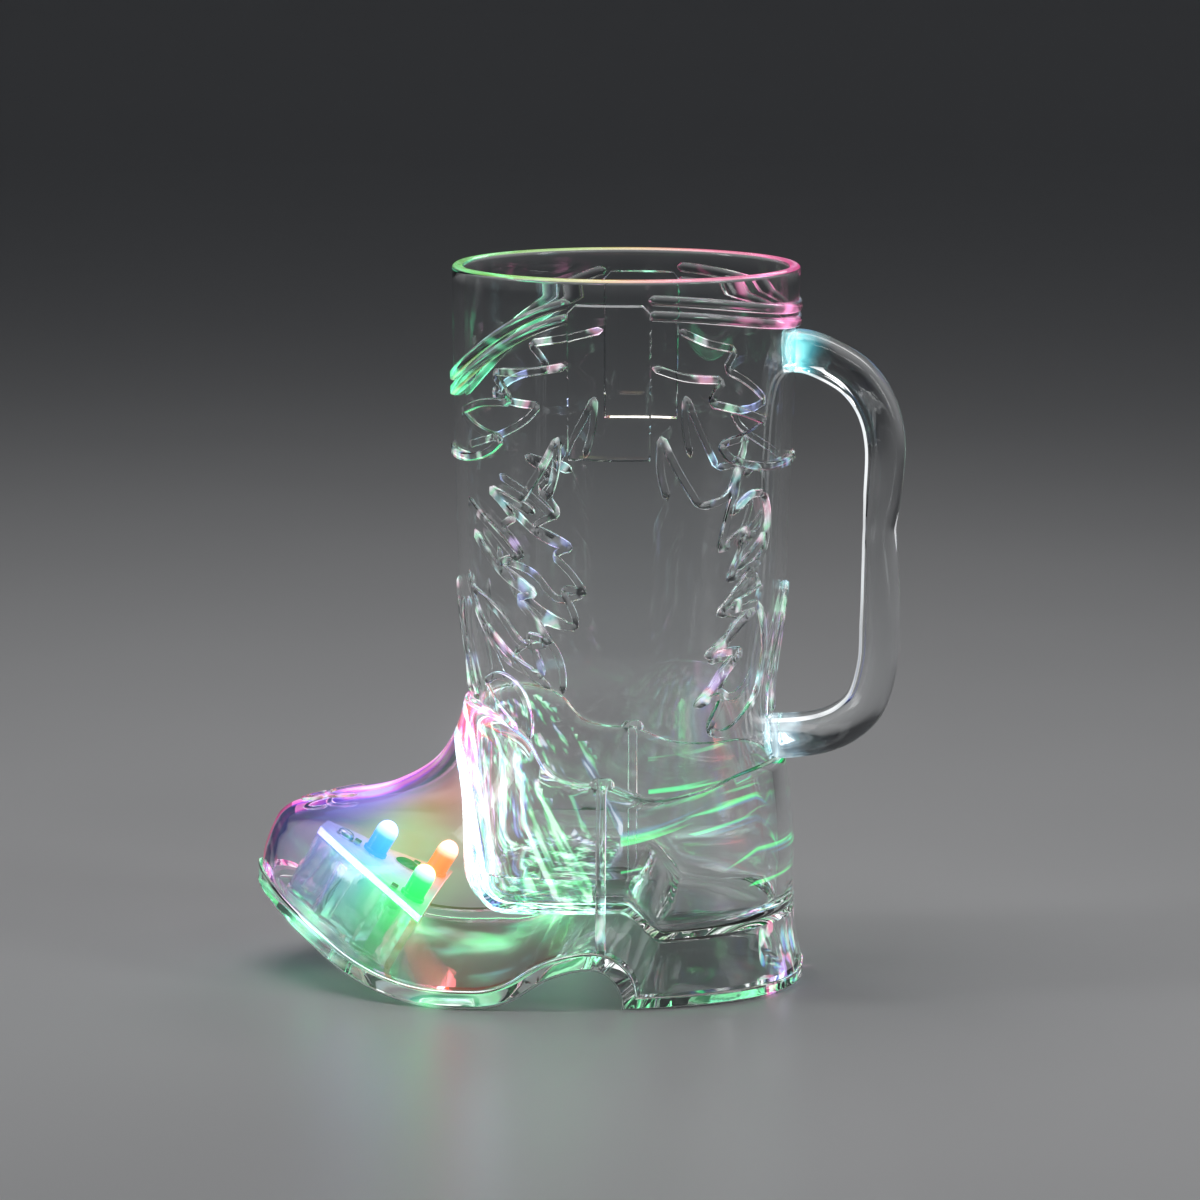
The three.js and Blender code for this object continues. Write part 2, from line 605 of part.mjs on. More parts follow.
function basePlate() {
  const sheet = acrossY([...baseLine(0), ...baseLine(SOLE_EDGE).reverse()], FAR);
  const heel = box(-ARCH_END, FAR, -FAR, FAR, -FAR, FAR);
  const sole = sheet.intersect(upZ(soleOutline(0), -FAR, FAR)).subtract(heel);
  const pocket = acrossY([...soleLine(SOLE_FLOOR), ...soleLine(SOLE_EDGE + 5).reverse()], FAR);
  const rim = WELT + WALL + LAYER;
  const recess = pocket.intersect(upZ(soleOutline(rim), -FAR, FAR)).subtract(heel.translate(-rim, 0, 0));
  const plate = sole.subtract(recess).add(sheet.intersect(outerForm).intersect(heel));
  const top = BOARD_RISE - FIT_GAP;
  const posts = bar(POST_RADIUS, POST_FRONT, 0, -1, top).add(bar(POST_RADIUS, POST_REAR, 0, -1, top));
  const pilot = SCREW_RADIUS + FIT_GAP;
  const depth = top - SCREW_LENGTH;
  const holes = [POST_FRONT, POST_REAR].map((x) => bar(pilot, x, 0, depth, top + 1, FINE_ROUND));
  const boss = bar(DOOR_BOSS_RADIUS, BAY_X, DOOR_SCREW_Y, -1, DOOR_BOSS_HEIGHT, FINE_ROUND);
  const opening = box(BAY_X - BAY_HALF_X, BAY_X + BAY_HALF_X, -BAY_HALF_Y, BAY_HALF_Y, -FAR / 8, 1);
  const doorSeat = upZ(doorPlan(FIT_GAP), -FAR / 8, DOOR_SEAT + FIT_GAP);
  const bossTop = DOOR_BOSS_HEIGHT + 1;
  const doorScrew = bar(DOOR_SCREW_RADIUS + FIT_GAP, BAY_X, DOOR_SCREW_Y, -FAR / 8, bossTop, FINE_ROUND);
  const button = bar(BUTTON_RADIUS + FIT_GAP, BUTTON_X, BUTTON_Y, -FAR / 8, 1);
  const spotFace = bar(BUTTON_FLANGE_RADIUS + FIT_GAP, BUTTON_X, BUTTON_Y, 0, SOLE_EDGE);
  const cuts = [...holes, opening, doorSeat, doorScrew, button, spotFace];
  const added = moved(posts, MODULE_FRAME).add(moved(boss, MODULE_FRAME));
  return cuts.reduce((body, cut) => body.subtract(moved(cut, MODULE_FRAME)), plate.add(added));
}

// Light module

function trayPlan(inset) {
  const slope = (TRAY_REAR_HALF - TRAY_FRONT_HALF) / (TRAY_REAR + TRAY_FRONT);
  const side = inset * Math.hypot(1, slope);
  const half = (x) => TRAY_FRONT_HALF + (x + TRAY_FRONT) * slope - side;
  const front = -TRAY_FRONT + inset;
  const rear = TRAY_REAR - inset;
  return [[rear, -half(rear)], [rear, half(rear)], [front, half(front)], [front, -half(front)]];
}

// Space under a line offset up from the sole's ground face, in the module's frame.
function belowSole(up) {
  const line = soleLine(up);
  const outline = [...line, [FAR, line.at(-1)[1]], [FAR, -FAR], [-2 * FAR, -FAR]];
  return moved(acrossY(outline, FAR), MODULE_FRAME_BACK);
}

const POST_PLACES = [POST_FRONT, POST_REAR];

function ledTray() {
  const top = BOARD_RISE - FIT_GAP;
  const low = -2;
  const skirt = upZ(trayPlan(0), low, top).subtract(upZ(trayPlan(TRAY_WALL), low - 1, top + 1));
  const floorTop = FIT_GAP + TRAY_FLOOR;
  const rim = TRAY_WALL / 2;
  const floor = upZ(trayPlan(rim), low, floorTop);
  const ribs = [];
  for (const share of [0.3, 0.62]) {
    const [rear, , , front] = trayPlan(0);
    const x = THREE.MathUtils.lerp(rear[0], front[0], share);
    const y = THREE.MathUtils.lerp(rear[1], front[1], share);
    for (const side of [-1, 1]) {
      ribs.push(box(x - TRAY_RIB / 2, x + TRAY_RIB / 2, side * y - 1, side * y + 1, low, top));
    }
  }
  const outX = BAY_HALF_X + BAY_WALL;
  const outY = BAY_HALF_Y + BAY_WALL;
  const bay = box(BAY_X - outX, BAY_X + outX, -outY, outY, low, BAY_CEILING + BAY_WALL);
  const [bayStart, bayEnd] = [BAY_X - BAY_HALF_X, BAY_X + BAY_HALF_X];
  const bayRoom = box(bayStart, bayEnd, -BAY_HALF_Y, BAY_HALF_Y, low - 1, BAY_CEILING);
  const slots = [-1, 1].map((side) => {
    const half = CONTACT_TAB / 2 + FIT_GAP;
    const y = side * (CONTACT_PLACE + CONTACT_THICK / 2);
    const deep = CONTACT_THICK / 2 + FIT_GAP;
    return box(BAY_X - half, BAY_X + half, y - deep, y + deep, BAY_CEILING - 1, top);
  });
  const holes = POST_PLACES.map((x) => bar(POST_RADIUS + FIT_GAP, x, 0, low - 1, top));
  const bossTop = DOOR_BOSS_HEIGHT + 1;
  const boss = bar(DOOR_BOSS_RADIUS + FIT_GAP, BAY_X, DOOR_SCREW_Y, low - 1, bossTop, FINE_ROUND);
  const button = bar(BUTTON_FLANGE_RADIUS + FIT_GAP, BUTTON_X, BUTTON_Y, low - 1, floorTop + 1);
  const cuts = [bayRoom, ...slots, ...holes, boss, button, belowSole(SOLE_FLOOR + FIT_GAP)];
  const whole = ribs.reduce((body, rib) => body.add(rib), skirt.add(floor).add(bay));
  return cuts.reduce((body, cut) => body.subtract(cut), whole);
}

// Lamps: name, colour and place on the board.
const LAMPS = [
  ["blue", 0x2c4bff, -7.7, 0],
  ["green", 0x18ff5a, 5.2, -17.5],
  ["red", 0xff4a1c, 6, 13.5],
];
const BOARD_TOP = BOARD_RISE + BOARD_THICK;

function lampLegs(x, y, half, z0, z1) {
  return [-1, 1].map((side) => {
    const middle = y + (side * LAMP_LEG_PITCH) / 2;
    return box(x - half, x + half, middle - half, middle + half, z0, z1);
  });
}

function circuitBoard() {
  const plate = upZ(trayPlan(0), BOARD_RISE, BOARD_TOP);
  const legs = LAMPS.flatMap(([, , x, y]) => lampLegs(x, y, LAMP_LEG / 2 + FIT_GAP, 0, FAR));
  const screws = POST_PLACES.map((x) => bar(SCREW_RADIUS + FIT_GAP, x, 0, 0, FAR, FINE_ROUND));
  return [...legs, ...screws].reduce((body, cut) => body.subtract(cut), plate);
}

function lamp(x, y) {
  const seat = BOARD_TOP + LAMP_STANDOFF;
  const shoulder = seat + LAMP_HEIGHT - LAMP_RADIUS;
  const dome = arc(0, shoulder, LAMP_RADIUS, 0, Math.PI / 2, 5).slice(0, -1);
  const rim = seat + LAMP_FLANGE;
  const flange = [[0, seat], [LAMP_FLANGE_RADIUS, seat], [LAMP_FLANGE_RADIUS, rim], [LAMP_RADIUS, rim]];
  const body = turned([...flange, ...dome, [0, shoulder + LAMP_RADIUS]], 16);
  const legs = lampLegs(x, y, LAMP_LEG / 2, BOARD_RISE - LAMP_LEG_BELOW, seat + LAMP_FLANGE / 2);
  return legs.reduce((whole, leg) => whole.add(leg), solid(body.translate(x, y, 0)));
}

function resistor(x, y) {
  const { length, width, height, setback } = RESISTOR;
  const base = BOARD_TOP + FIT_GAP;
  const start = x - setback - width / 2;
  return box(start, start + width, y - length / 2, y + length / 2, base, base + height);
}

function controlChip() {
  const base = BOARD_TOP + FIT_GAP;
  const quarter = arc(0, 0, 1, 0, Math.PI / 2, 5).slice(0, -1);
  const dome = quarter.map(([c, s]) => [CHIP.radius * c, base + CHIP.height * s]);
  const blob = turned([[0, base], ...dome, [0, base + CHIP.height]], 16);
  return blob.translate(CHIP.x, CHIP.y, 0);
}

function boardScrew(x) {
  const head = BOARD_TOP + FIT_GAP;
  const tip = head - BOARD_THICK - SCREW_LENGTH + 1;
  const crown = head + SCREW_HEAD;
  const wide = SCREW_HEAD_RADIUS;
  const shank = [[0, tip], [SCREW_RADIUS * 0.5, tip], [SCREW_RADIUS, tip + 1], [SCREW_RADIUS, head]];
  const cap = [[wide, head], [wide * 0.9, crown - 0.3], [wide * 0.5, crown], [0, crown]];
  const body = solid(turned([...shank, ...cap], FINE_ROUND).translate(x, 0, 0));
  const slot = 0.3;
  return body.subtract(box(x - wide, x + wide, -slot, slot, crown - 0.6, crown + 1));
}

function buttonCell(index) {
  const start = -CELL_STACK / 2 + index * (CELL_LENGTH + CELL_GAP);
  const cap = CELL_RADIUS - 1.1;
  const crimp = CELL_RADIUS - 0.5;
  const lip = 0.6;
  const profile = [[0, 0], [cap, 0], [cap, lip / 2], [crimp, lip], [CELL_RADIUS, lip + 0.4]];
  const can = [[CELL_RADIUS, CELL_LENGTH - 0.3], [CELL_RADIUS - 0.3, CELL_LENGTH], [0, CELL_LENGTH]];
  const geometry = turned([...profile, ...can]);
  return geometry.rotateX(-Math.PI / 2).translate(BAY_X, start, CELL_RISE);
}

function contact(side) {
  const half = CONTACT_WIDTH / 2;
  const tab = CONTACT_TAB / 2;
  const low = CELL_RISE - half;
  const shoulder = CELL_RISE + half;
  const top = BOARD_RISE - FIT_GAP;
  const right = [[half, low], [half, shoulder], [tab, shoulder], [tab, top]];
  const left = right.map(([x, z]) => [-x, z]).reverse();
  const outline = [...right, ...left].map(([x, z]) => [BAY_X + x, z]);
  const place = side * (CONTACT_PLACE + CONTACT_THICK / 2);
  return geometryOf(acrossY(outline, CONTACT_THICK / 2)).translate(0, place, 0);
}

const SWITCH_TOP = BOARD_RISE - FIT_GAP;
const SWITCH_FACE = SWITCH_TOP - SWITCH_HEIGHT;

function switchBody() {
  const half = SWITCH_SIDE / 2;
  const cut = 0.8;
  const corner = [[half, half - cut], [half - cut, half]];
  const outline = [[1, 1], [-1, 1], [-1, -1], [1, -1]].flatMap(([sx, sy]) => {
    const points = corner.map(([x, y]) => [BUTTON_X + sx * x, BUTTON_Y + sy * y]);
    return sx * sy > 0 ? points : points.reverse();
  });
  const well = PLUNGER_IN + BUTTON_TRAVEL + FIT_GAP;
  const hole = bar(PLUNGER_RADIUS + FIT_GAP, BUTTON_X, BUTTON_Y, SWITCH_FACE - 1, SWITCH_FACE + well);
  return upZ(outline, SWITCH_FACE, SWITCH_TOP).subtract(hole);
}

function switchPlunger() {
  return bar(PLUNGER_RADIUS, BUTTON_X, BUTTON_Y, SWITCH_FACE - PLUNGER_OUT, SWITCH_FACE + PLUNGER_IN);
}

function pushButton() {
  const face = SOLE_BOTTOM - BUTTON_PROUD;
  const top = SWITCH_FACE - PLUNGER_OUT - FIT_GAP;
  const flange = FIT_GAP + BUTTON_FLANGE;
  const round = 0.6;
  const profile = [
    [0, face],
    [BUTTON_RADIUS - round, face],
    [BUTTON_RADIUS, face + round],
    [BUTTON_RADIUS, FIT_GAP],
    [BUTTON_FLANGE_RADIUS, FIT_GAP],
    [BUTTON_FLANGE_RADIUS, flange],
    [BUTTON_STEM_RADIUS, flange],
    [BUTTON_STEM_RADIUS, top],
    [0, top],
  ];
  return turned(profile).translate(BUTTON_X, BUTTON_Y, 0);
}

function batteryDoor() {
  const plate = upZ(doorPlan(0), SOLE_BOTTOM, DOOR_SEAT);
  const x = BAY_HALF_X - FIT_GAP;
  const y = BAY_HALF_Y - FIT_GAP;
  const plug = box(BAY_X - x, BAY_X + x, -y, y, DOOR_SEAT - 0.5, 0);
  const shank = bar(DOOR_SCREW_RADIUS + FIT_GAP, BAY_X, DOOR_SCREW_Y, -FAR, 0, FINE_ROUND);
  const sink = SOLE_BOTTOM + DOOR_SCREW_HEAD;
  const bore = DOOR_SCREW_HEAD_RADIUS + FIT_GAP;
  const head = bar(bore, BAY_X, DOOR_SCREW_Y, -FAR, sink + FIT_GAP / 2, FINE_ROUND);
  return plate.add(plug).subtract(shank).subtract(head).subtract(belowSole(0));
}

function doorScrew() {
  const face = SOLE_BOTTOM;
  const seat = face + DOOR_SCREW_HEAD - FIT_GAP / 2;
  const tip = seat + DOOR_SCREW_LENGTH;
  const thin = DOOR_SCREW_RADIUS;
  const head = [[0, face], [DOOR_SCREW_HEAD_RADIUS, face], [DOOR_SCREW_HEAD_RADIUS, seat]];
  const shank = [[thin, seat], [thin, tip - 1], [thin / 2, tip], [0, tip]];
  const body = solid(turned([...head, ...shank], FINE_ROUND));
  const wing = DOOR_SCREW_HEAD_RADIUS * 0.7;
  const slot = 0.25;
  const deep = face + 0.4;
  const across = box(-wing, wing, -slot, slot, face - 1, deep);
  const along = box(-slot, slot, -wing, wing, face - 1, deep);
  return geometryOf(body.subtract(across).subtract(along)).translate(BAY_X, DOOR_SCREW_Y, 0);
}

// Assembly

const cup = new THREE.Group();
piece("boot_body", bootBody(), CLEAR, cup);
piece("handle", handle(), CLEAR, cup);
piece("base_plate", basePlate(), CLEAR, cup);

const light = new THREE.Group();
light.position.copy(MODULE_PLACE);
light.rotation.y = TOE_RAMP;
cup.add(light);
piece("led_tray", ledTray(), FROSTED, light);
piece("circuit_board", circuitBoard(), { color: 0xe8ece6, roughness: 0.5, metalness: 0 }, light);
for (const [name, color, x, y] of LAMPS) {
  piece(`led_${name}`, lamp(x, y), { color, roughness: 0.15, metalness: 0, emissive: color }, light);
  piece(`resistor_${name}`, resistor(x, y), DARK, light);
}
piece("control_chip", controlChip(), DARK, light);
piece("board_screw_front", boardScrew(POST_FRONT), STEEL, light);
piece("board_screw_rear", boardScrew(POST_REAR), STEEL, light);
for (let i = 0; i < CELL_COUNT; i++) piece(`button_cell_${i + 1}`, buttonCell(i), STEEL, light);
piece("contact_negative", contact(-1), STEEL, light);
piece("contact_positive", contact(1), STEEL, light);
piece("switch_body", switchBody(), DARK, light);
piece("switch_plunger", switchPlunger(), { color: 0xf0f0ee, roughness: 0.5, metalness: 0 }, light);
piece("push_button", pushButton(), { color: 0xf4f5f5, roughness: 0.4, metalness: 0 }, light);
piece("battery_door", batteryDoor(), FROSTED, light);
piece("door_screw", doorScrew(), STEEL, light);

// The part's origin is under the middle of its overall length.
const extent = new THREE.Box3().setFromObject(cup);
cup.position.x = -(extent.min.x + extent.max.x) / 2;
const part = new THREE.Group();
part.add(cup);

export default part;
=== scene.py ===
import math

import bmesh
import bpy
import numpy as np
from bpy.props import FloatProperty, FloatVectorProperty, IntProperty, PointerProperty
from bpy.types import Operator, Panel, PropertyGroup
from mathutils import Matrix, Vector
from mathutils.bvhtree import BVHTree


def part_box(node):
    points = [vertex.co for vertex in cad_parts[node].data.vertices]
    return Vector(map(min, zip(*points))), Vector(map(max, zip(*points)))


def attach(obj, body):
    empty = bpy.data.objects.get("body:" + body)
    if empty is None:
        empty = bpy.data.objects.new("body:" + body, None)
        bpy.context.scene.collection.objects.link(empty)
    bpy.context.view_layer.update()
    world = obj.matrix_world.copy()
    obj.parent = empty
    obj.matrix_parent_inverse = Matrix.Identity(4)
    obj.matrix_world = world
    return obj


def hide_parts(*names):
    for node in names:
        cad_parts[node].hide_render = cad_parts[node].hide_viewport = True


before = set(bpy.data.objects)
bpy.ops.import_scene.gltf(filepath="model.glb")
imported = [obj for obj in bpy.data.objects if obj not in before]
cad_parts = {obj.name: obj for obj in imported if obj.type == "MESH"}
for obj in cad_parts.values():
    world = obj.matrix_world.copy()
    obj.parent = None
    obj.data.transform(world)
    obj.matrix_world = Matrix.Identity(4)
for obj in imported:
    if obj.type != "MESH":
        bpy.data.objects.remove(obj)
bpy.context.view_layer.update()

bl_info = {
    "name": "Boot cup",
    "version": (1, 0, 0),
    "blender": (4, 5, 0),
    "location": "3D View > Sidebar > Boot cup",
    "description": "Dresses the clear boot-shaped cup with its lamp module",
    "category": "Object",
}

MM = 0.001

# Sizes of the moulding, in millimetres from the shaft's axis, as in the part's source.
CUP_HEIGHT = 166
RIM_RADIUS = 40
WALL = 2.6
TOE_REACH = 85
WELT = 1.6
LAYER = 0.9
VESSEL_FRONT = 34.5
VESSEL_SPREAD = 60
VESSEL_FLOOR = 16
VESSEL_STEP = 7.5
STEP_PLACE = 3
FLOOR_WALL = 2.5
PARTITION = 2.2
ANKLE_HEIGHT = 65
ANKLE_BACK = 34.2
SOLE_EDGE = 4.2
SOLE_FLOOR = 2.6
SEAM_GAP = 0.3
FIT_GAP = 0.3
TOE_SPRING_RADIUS = 56
TOE_RAMP = math.radians(30)
BALL_FRONT = -38
BALL_BACK = -31
ARCH_RISE = 9
ARCH_END = 4
BREAST_RUN = 7.4
BREAST_WALL = 3.2
HEEL_CAP = 2.6
HANDLE_REACH = 64.6
HANDLE_TOP = 146.2
HANDLE_BOTTOM = 56.8
HANDLE_DEPTH = 9.6
HANDLE_WIDTH = 14
MODULE_SETBACK = 24.5
STRAP_WIDTH = 19
STRAP_LENGTH = 35
STRAP_DROP = 5.5
STRAP_CORNER = 2
SEAM_PLACE = -1.5
FAR = 120

# The shaft's axis stands this far along x in the shared frame.
SHAFT_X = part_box("base_plate")[0][0] / MM + TOE_REACH + WELT

# Rings of the boot from the rim down: centre, front, back, half width, heights at the front, the
# sides and the back, and how full the front and the back are.
STATIONS = [
    (0, 40, 40, 40, 166, 166, 166, 2, 2),
    (0, 39.2, 38, 38.8, 115, 115, 115, 2, 2),
    (0, 38.4, 37, 37.6, 90, 90, 90, 2, 2),
    (0, 36.3, 34.2, 35, 65, 65, 65, 2, 2),
    (-4, 42.6, 36.2, 37.5, 50, 50, 53, 2, 2),
    (-14, 53.8, 38.2, 39.5, 42.7, 37, 39, 1.8, 2.2),
    (-24, 68.4, 38.8, 41, 39.7, 27, 28, 1.7, 2.3),
    (-30, 79.6, 38.8, 41.3, 36.3, 19, 20, 1.65, 2.4),
    (-33, 82.4, 38.9, 41.4, 32, 13, 15, 1.6, 2.5),
    (-34, 85, 39, 41.5, 23, 6, 11, 1.6, 2.5),
    (-34, 85, 41.5, 41.5, -6, -6, -1, 1.6, 2.5),
]
# The line where the vamp and the counter overlap the shaft, as places along x and heights.
VAMP_LINE = [(-120, 65), (-36.3, 65), (-26, 63.5), (-19, 60), (-14, 53.5), (-8, 51.4), (-1.5, 51),
             (9, 47.8), (20, 49), (30, 52), (120, 54)]

# Stitch work on one side of the shaft: degrees round from the middle of the side, towards the
# handle, and heights. Each line is one run of stitches; it turns sharply at its corners.
BACK_STITCHES = [
    [(14, 146.5), (25, 144), (39, 143), (34, 138), (45, 136), (60, 132.5), (50, 130), (38, 128.5),
     (42, 125.5), (53, 123), (70, 121.8), (90, 122)],
    [(19.5, 116.5), (17, 123.5), (17, 131), (23, 123), (31, 114.5), (42, 117), (46.5, 123.5), (43, 114),
     (39, 104), (52, 109), (43, 97), (57, 101), (39, 89.5), (60, 91), (35, 80), (53, 80.5), (32, 68.5),
     (45, 70.5), (38, 62.5)],
    [(38, 62.5), (45, 61.5), (57, 65), (65, 70), (67, 79), (60, 91)],
    [(46, 113.5), (52, 116.2), (60, 116.3), (63, 110.7), (61, 103.3), (51, 98.7)],
    [(46, 99.5), (56, 103.7), (62, 107)],
    [(44, 91), (52, 92.6), (62, 94.7)],
    [(42, 81.5), (46, 85.3), (56, 90.7)],
    [(37, 70.5), (43, 76.2), (50, 80.4)],
]
FRONT_STITCHES = [
    [(-14, 146.5), (-27, 144.8), (-43, 144), (-35, 137.5), (-48, 136.7), (-64, 133.5), (-51, 130.5),
     (-39, 129), (-45, 126), (-58, 123.5), (-74, 123), (-90, 123.5)],
    [(-21, 116), (-18, 123), (-17, 130.5), (-24, 122.3), (-32, 115), (-26, 112.8), (-46, 117.5),
     (-34, 111.3), (-40, 109), (-31, 102.8), (-43, 100.3), (-26, 94.4), (-34, 93), (-21, 83.3),
     (-31, 84.8), (-25, 75.4)],
    [(-25, 75.4), (-34, 76.5), (-45, 80), (-55, 88), (-62, 97)],
    [(-60, 114), (-43, 107.5), (-33, 102)],
    [(-56, 107), (-39, 97.9), (-28, 94.4)],
    [(-60, 94), (-43, 89.1), (-33, 82.6), (-22, 83)],
    [(-52, 86), (-37, 78.4), (-29, 76)],
    [(-57, 71.5), (-46, 74), (-36, 71.4), (-32, 66), (-31, 60.5)],
    [(-57, 71.5), (-49, 66.8), (-37, 62)],
]
# Ridges that run from the bumps on the front and back middle lines down to the ankle.
RIDGES = [
    [(-90, 93), (-87, 84), (-80, 76), (-76, 67)],
    [(-70, 90), (-74, 80), (-71, 72), (-64, 66.5)],
    [(90, 93), (84, 86), (78, 76), (77, 62)],
    [(84, 88), (87, 75), (88, 62)],
]


# Settings that a user would change

class CupReliefSettings(PropertyGroup):
    bead_width: FloatProperty(name="Bead width", description="Width of a raised stitch line",
                              default=0.0019, unit="LENGTH", precision=4)
    bead_height: FloatProperty(name="Bead height", description="How far a stitch line stands proud",
                               default=0.0008, unit="LENGTH", precision=4)
    rim_round: FloatProperty(name="Rim round", description="Radius of the rounded drinking edge",
                             default=0.0012, unit="LENGTH", precision=4)
    columns: IntProperty(name="Columns", description="Points round the boot", default=240, min=48)


class CupPlasticSettings(PropertyGroup):
    clear_colour: FloatVectorProperty(name="Clear plastic", description="Colour of the clear moulding",
                                      default=(0.975, 0.99, 0.992, 1), size=4, subtype="COLOR", min=0, max=1)
    frosted_colour: FloatVectorProperty(name="Frosted plastic", description="Colour of the tray and door",
                                        default=(0.86, 0.9, 0.92, 1), size=4, subtype="COLOR", min=0, max=1)
    ior: FloatProperty(name="Refractive index", description="Refractive index of the clear plastic",
                       default=1.57, min=1, max=2)


class CupLampSettings(PropertyGroup):
    blue: FloatVectorProperty(name="Blue lamp", description="Light of the front lamp",
                              default=(0.04, 0.12, 1.0, 1), size=4, subtype="COLOR", min=0, max=1)
    green: FloatVectorProperty(name="Green lamp", description="Light of the near lamp",
                               default=(0.02, 1.0, 0.12, 1), size=4, subtype="COLOR", min=0, max=1)
    red: FloatVectorProperty(name="Red lamp", description="Light of the far lamp",
                             default=(1.0, 0.1, 0.03, 1), size=4, subtype="COLOR", min=0, max=1)
    strength: FloatProperty(name="Lamp strength", description="Brightness of the lamp domes",
                            default=6.5, min=0)
    # Strength of the painted glints: emission on the clear moulding that stands in for lamp light piped out by its
    # edges.
    glint: FloatProperty(name="Glint strength", description="Brightness of the edge-lit stitch work",
                         default=0.8, min=0)
    # Strength of the painted spill: emission on parts near the lamps that stands in for the light they cast.
    spill: FloatProperty(name="Spill strength", description="Brightness of what the lamps shine on",
                         default=1.0, min=0)


class CupStageSettings(PropertyGroup):
    floor_colour: FloatVectorProperty(name="Floor", description="Colour of the plain pale floor",
                                      default=(0.72, 0.72, 0.73, 1), size=4, subtype="COLOR", min=0, max=1)
    key_power: FloatProperty(name="Key light", description="Power of the soft light overhead",
                             default=2.6, min=0, unit="POWER")
    side_power: FloatProperty(name="Side lights", description="Power of the strip lights",
                              default=0.24, min=0, unit="POWER")
    lens: FloatProperty(name="Lens", description="Focal length of the camera in millimetres",
                        default=145, min=1)


# Curves and rings, in millimetres from the shaft's axis

def oval(station, turns):
    """Points of one boot ring at some turns round it."""
    centre, front, back, half, front_z, side_z, back_z, front_full, back_full = station
    c = np.cos(turns)
    s = np.sin(turns)
    ahead = c < 0
    reach = np.where(ahead, front + centre, back - centre)
    power = 2 / np.where(ahead, front_full, back_full)
    x = centre + np.sign(c) * reach * np.abs(c) ** power
    y = half * np.sign(s) * np.abs(s) ** power
    z = side_z + (np.where(ahead, front_z, back_z) - side_z) * c * c
    return np.stack([x, y, z], axis=-1)


def smooth_curve(knots, places):
    """Centripetal curve through knots, at places counted in knots; one column for each curve."""
    ends = np.concatenate([2 * knots[:1] - knots[1:2], knots, 2 * knots[-1:] - knots[-2:-1]])
    index = np.clip(np.floor(places).astype(int), 0, len(knots) - 2)
    share = (places - index)[..., None]
    columns = np.arange(knots.shape[1])
    p0, p1, p2, p3 = (ends[index + i, columns] for i in range(4))

    def gap(a, b):
        return np.maximum(np.linalg.norm(b - a, axis=-1, keepdims=True) ** 0.5, 1e-5)

    d0, d1, d2 = gap(p0, p1), gap(p1, p2), gap(p2, p3)
    start = ((p1 - p0) / d0 - (p2 - p0) / (d0 + d1) + (p2 - p1) / d1) * d1
    end = ((p2 - p1) / d1 - (p3 - p1) / (d1 + d2) + (p3 - p2) / d2) * d1
    bend = 3 * (p2 - p1) - 2 * start - end
    return p1 + share * (start + share * (bend + share * (2 * (p1 - p2) + start + end)))


def line_through(points, count):
    """A smooth open line of so many points through a few given ones."""
    knots = np.array(points, float)[:, None, :]
    places = np.linspace(0, len(points) - 1, count)[:, None]
    return smooth_curve(knots, places)[:, 0]


def boot_surface(places, turns):
    knots = np.stack([oval(station, turns) for station in STATIONS])
    return smooth_curve(knots, places)


def boot_points(places, turns, out):
    """Points of the boot's outer form, moved out along its normals."""
    step = 1e-3
    down = boot_surface(places + step, turns) - boot_surface(places - step, turns)
    about = boot_surface(places, turns + step) - boot_surface(places, turns - step)
    normals = np.cross(down, about)
    normals /= np.linalg.norm(normals, axis=-1, keepdims=True)
    return boot_surface(places, turns) + normals * np.asarray(out)[..., None]


def place_where(turns, height, low, high):
    """Place on each column where the boot's surface crosses a height that depends on x."""
    places = np.linspace(low, high, 500)[:, None] * np.ones(len(turns))
    points = boot_surface(places, turns)
    over = points[..., 2] - height(points[..., 0])
    first = np.argmax(over < 0, axis=0)
    columns = np.arange(len(turns))
    a, b = over[first - 1, columns], over[first, columns]
    return places[first - 1, 0] + (places[first, 0] - places[first - 1, 0]) * a / (a - b)


def vamp_height(x):
    line = line_through([(a, 0, b) for a, b in VAMP_LINE], 400)
    return np.interp(x, line[:, 0], line[:, 2])


def ease(t):
    t = np.clip(t, 0, 1)
    return t * t * (3 - 2 * t)


def collar_height(x):
    drop = np.where(x < 0, 25, 8)
    return CUP_HEIGHT - 3 - (drop - 3) * np.minimum(np.abs(x) / RIM_RADIUS, 1) ** 2


def arc(cx, cz, radius, start, end, steps):
    turns = np.linspace(start, end, steps + 1)
    return [(cx + radius * math.cos(a), cz + radius * math.sin(a)) for a in turns]


def sole_line(up, toe=FAR):
    """Line of the sole from beyond the toe to the arch's crest, offset up from the ground face."""
    down = -math.pi / 2
    run = -ARCH_END - BALL_BACK
    radius = (run ** 2 + ARCH_RISE ** 2) / (4 * ARCH_RISE)
    turn = 2 * math.atan(ARCH_RISE / run)
    spring = arc(BALL_FRONT, TOE_SPRING_RADIUS, TOE_SPRING_RADIUS - up, down - TOE_RAMP, down, 20)
    x, z = spring[0]
    tip = (x - toe * math.cos(TOE_RAMP), z + toe * math.sin(TOE_RAMP))
    rise = arc(BALL_BACK, radius, radius - up, down, down + turn, 14)
    crest = arc(-ARCH_END, ARCH_RISE - radius, radius + up, math.pi / 2 + turn, math.pi / 2, 14)
    return [tip, *spring, *rise, *crest[1:]]


def base_line(up, toe=FAR, heel=FAR):
    """The same line carried on down the heel's hollow front and along its ground face."""
    thick = up / SOLE_EDGE
    heel_z = HEEL_CAP * min(thick, 1) + max(up - SOLE_EDGE, 0)
    run = BREAST_RUN + BREAST_WALL * thick
    drop = ARCH_RISE + up - heel_z
    turns = np.linspace(0, math.pi / 2, 19)[1:]
    breast = [(-ARCH_END + run * math.sin(a), heel_z + drop * math.cos(a)) for a in turns]
    return [*sole_line(up, toe), *breast, (heel, heel_z)]


# Light module frame: x runs down the toe ramp, z stands off it

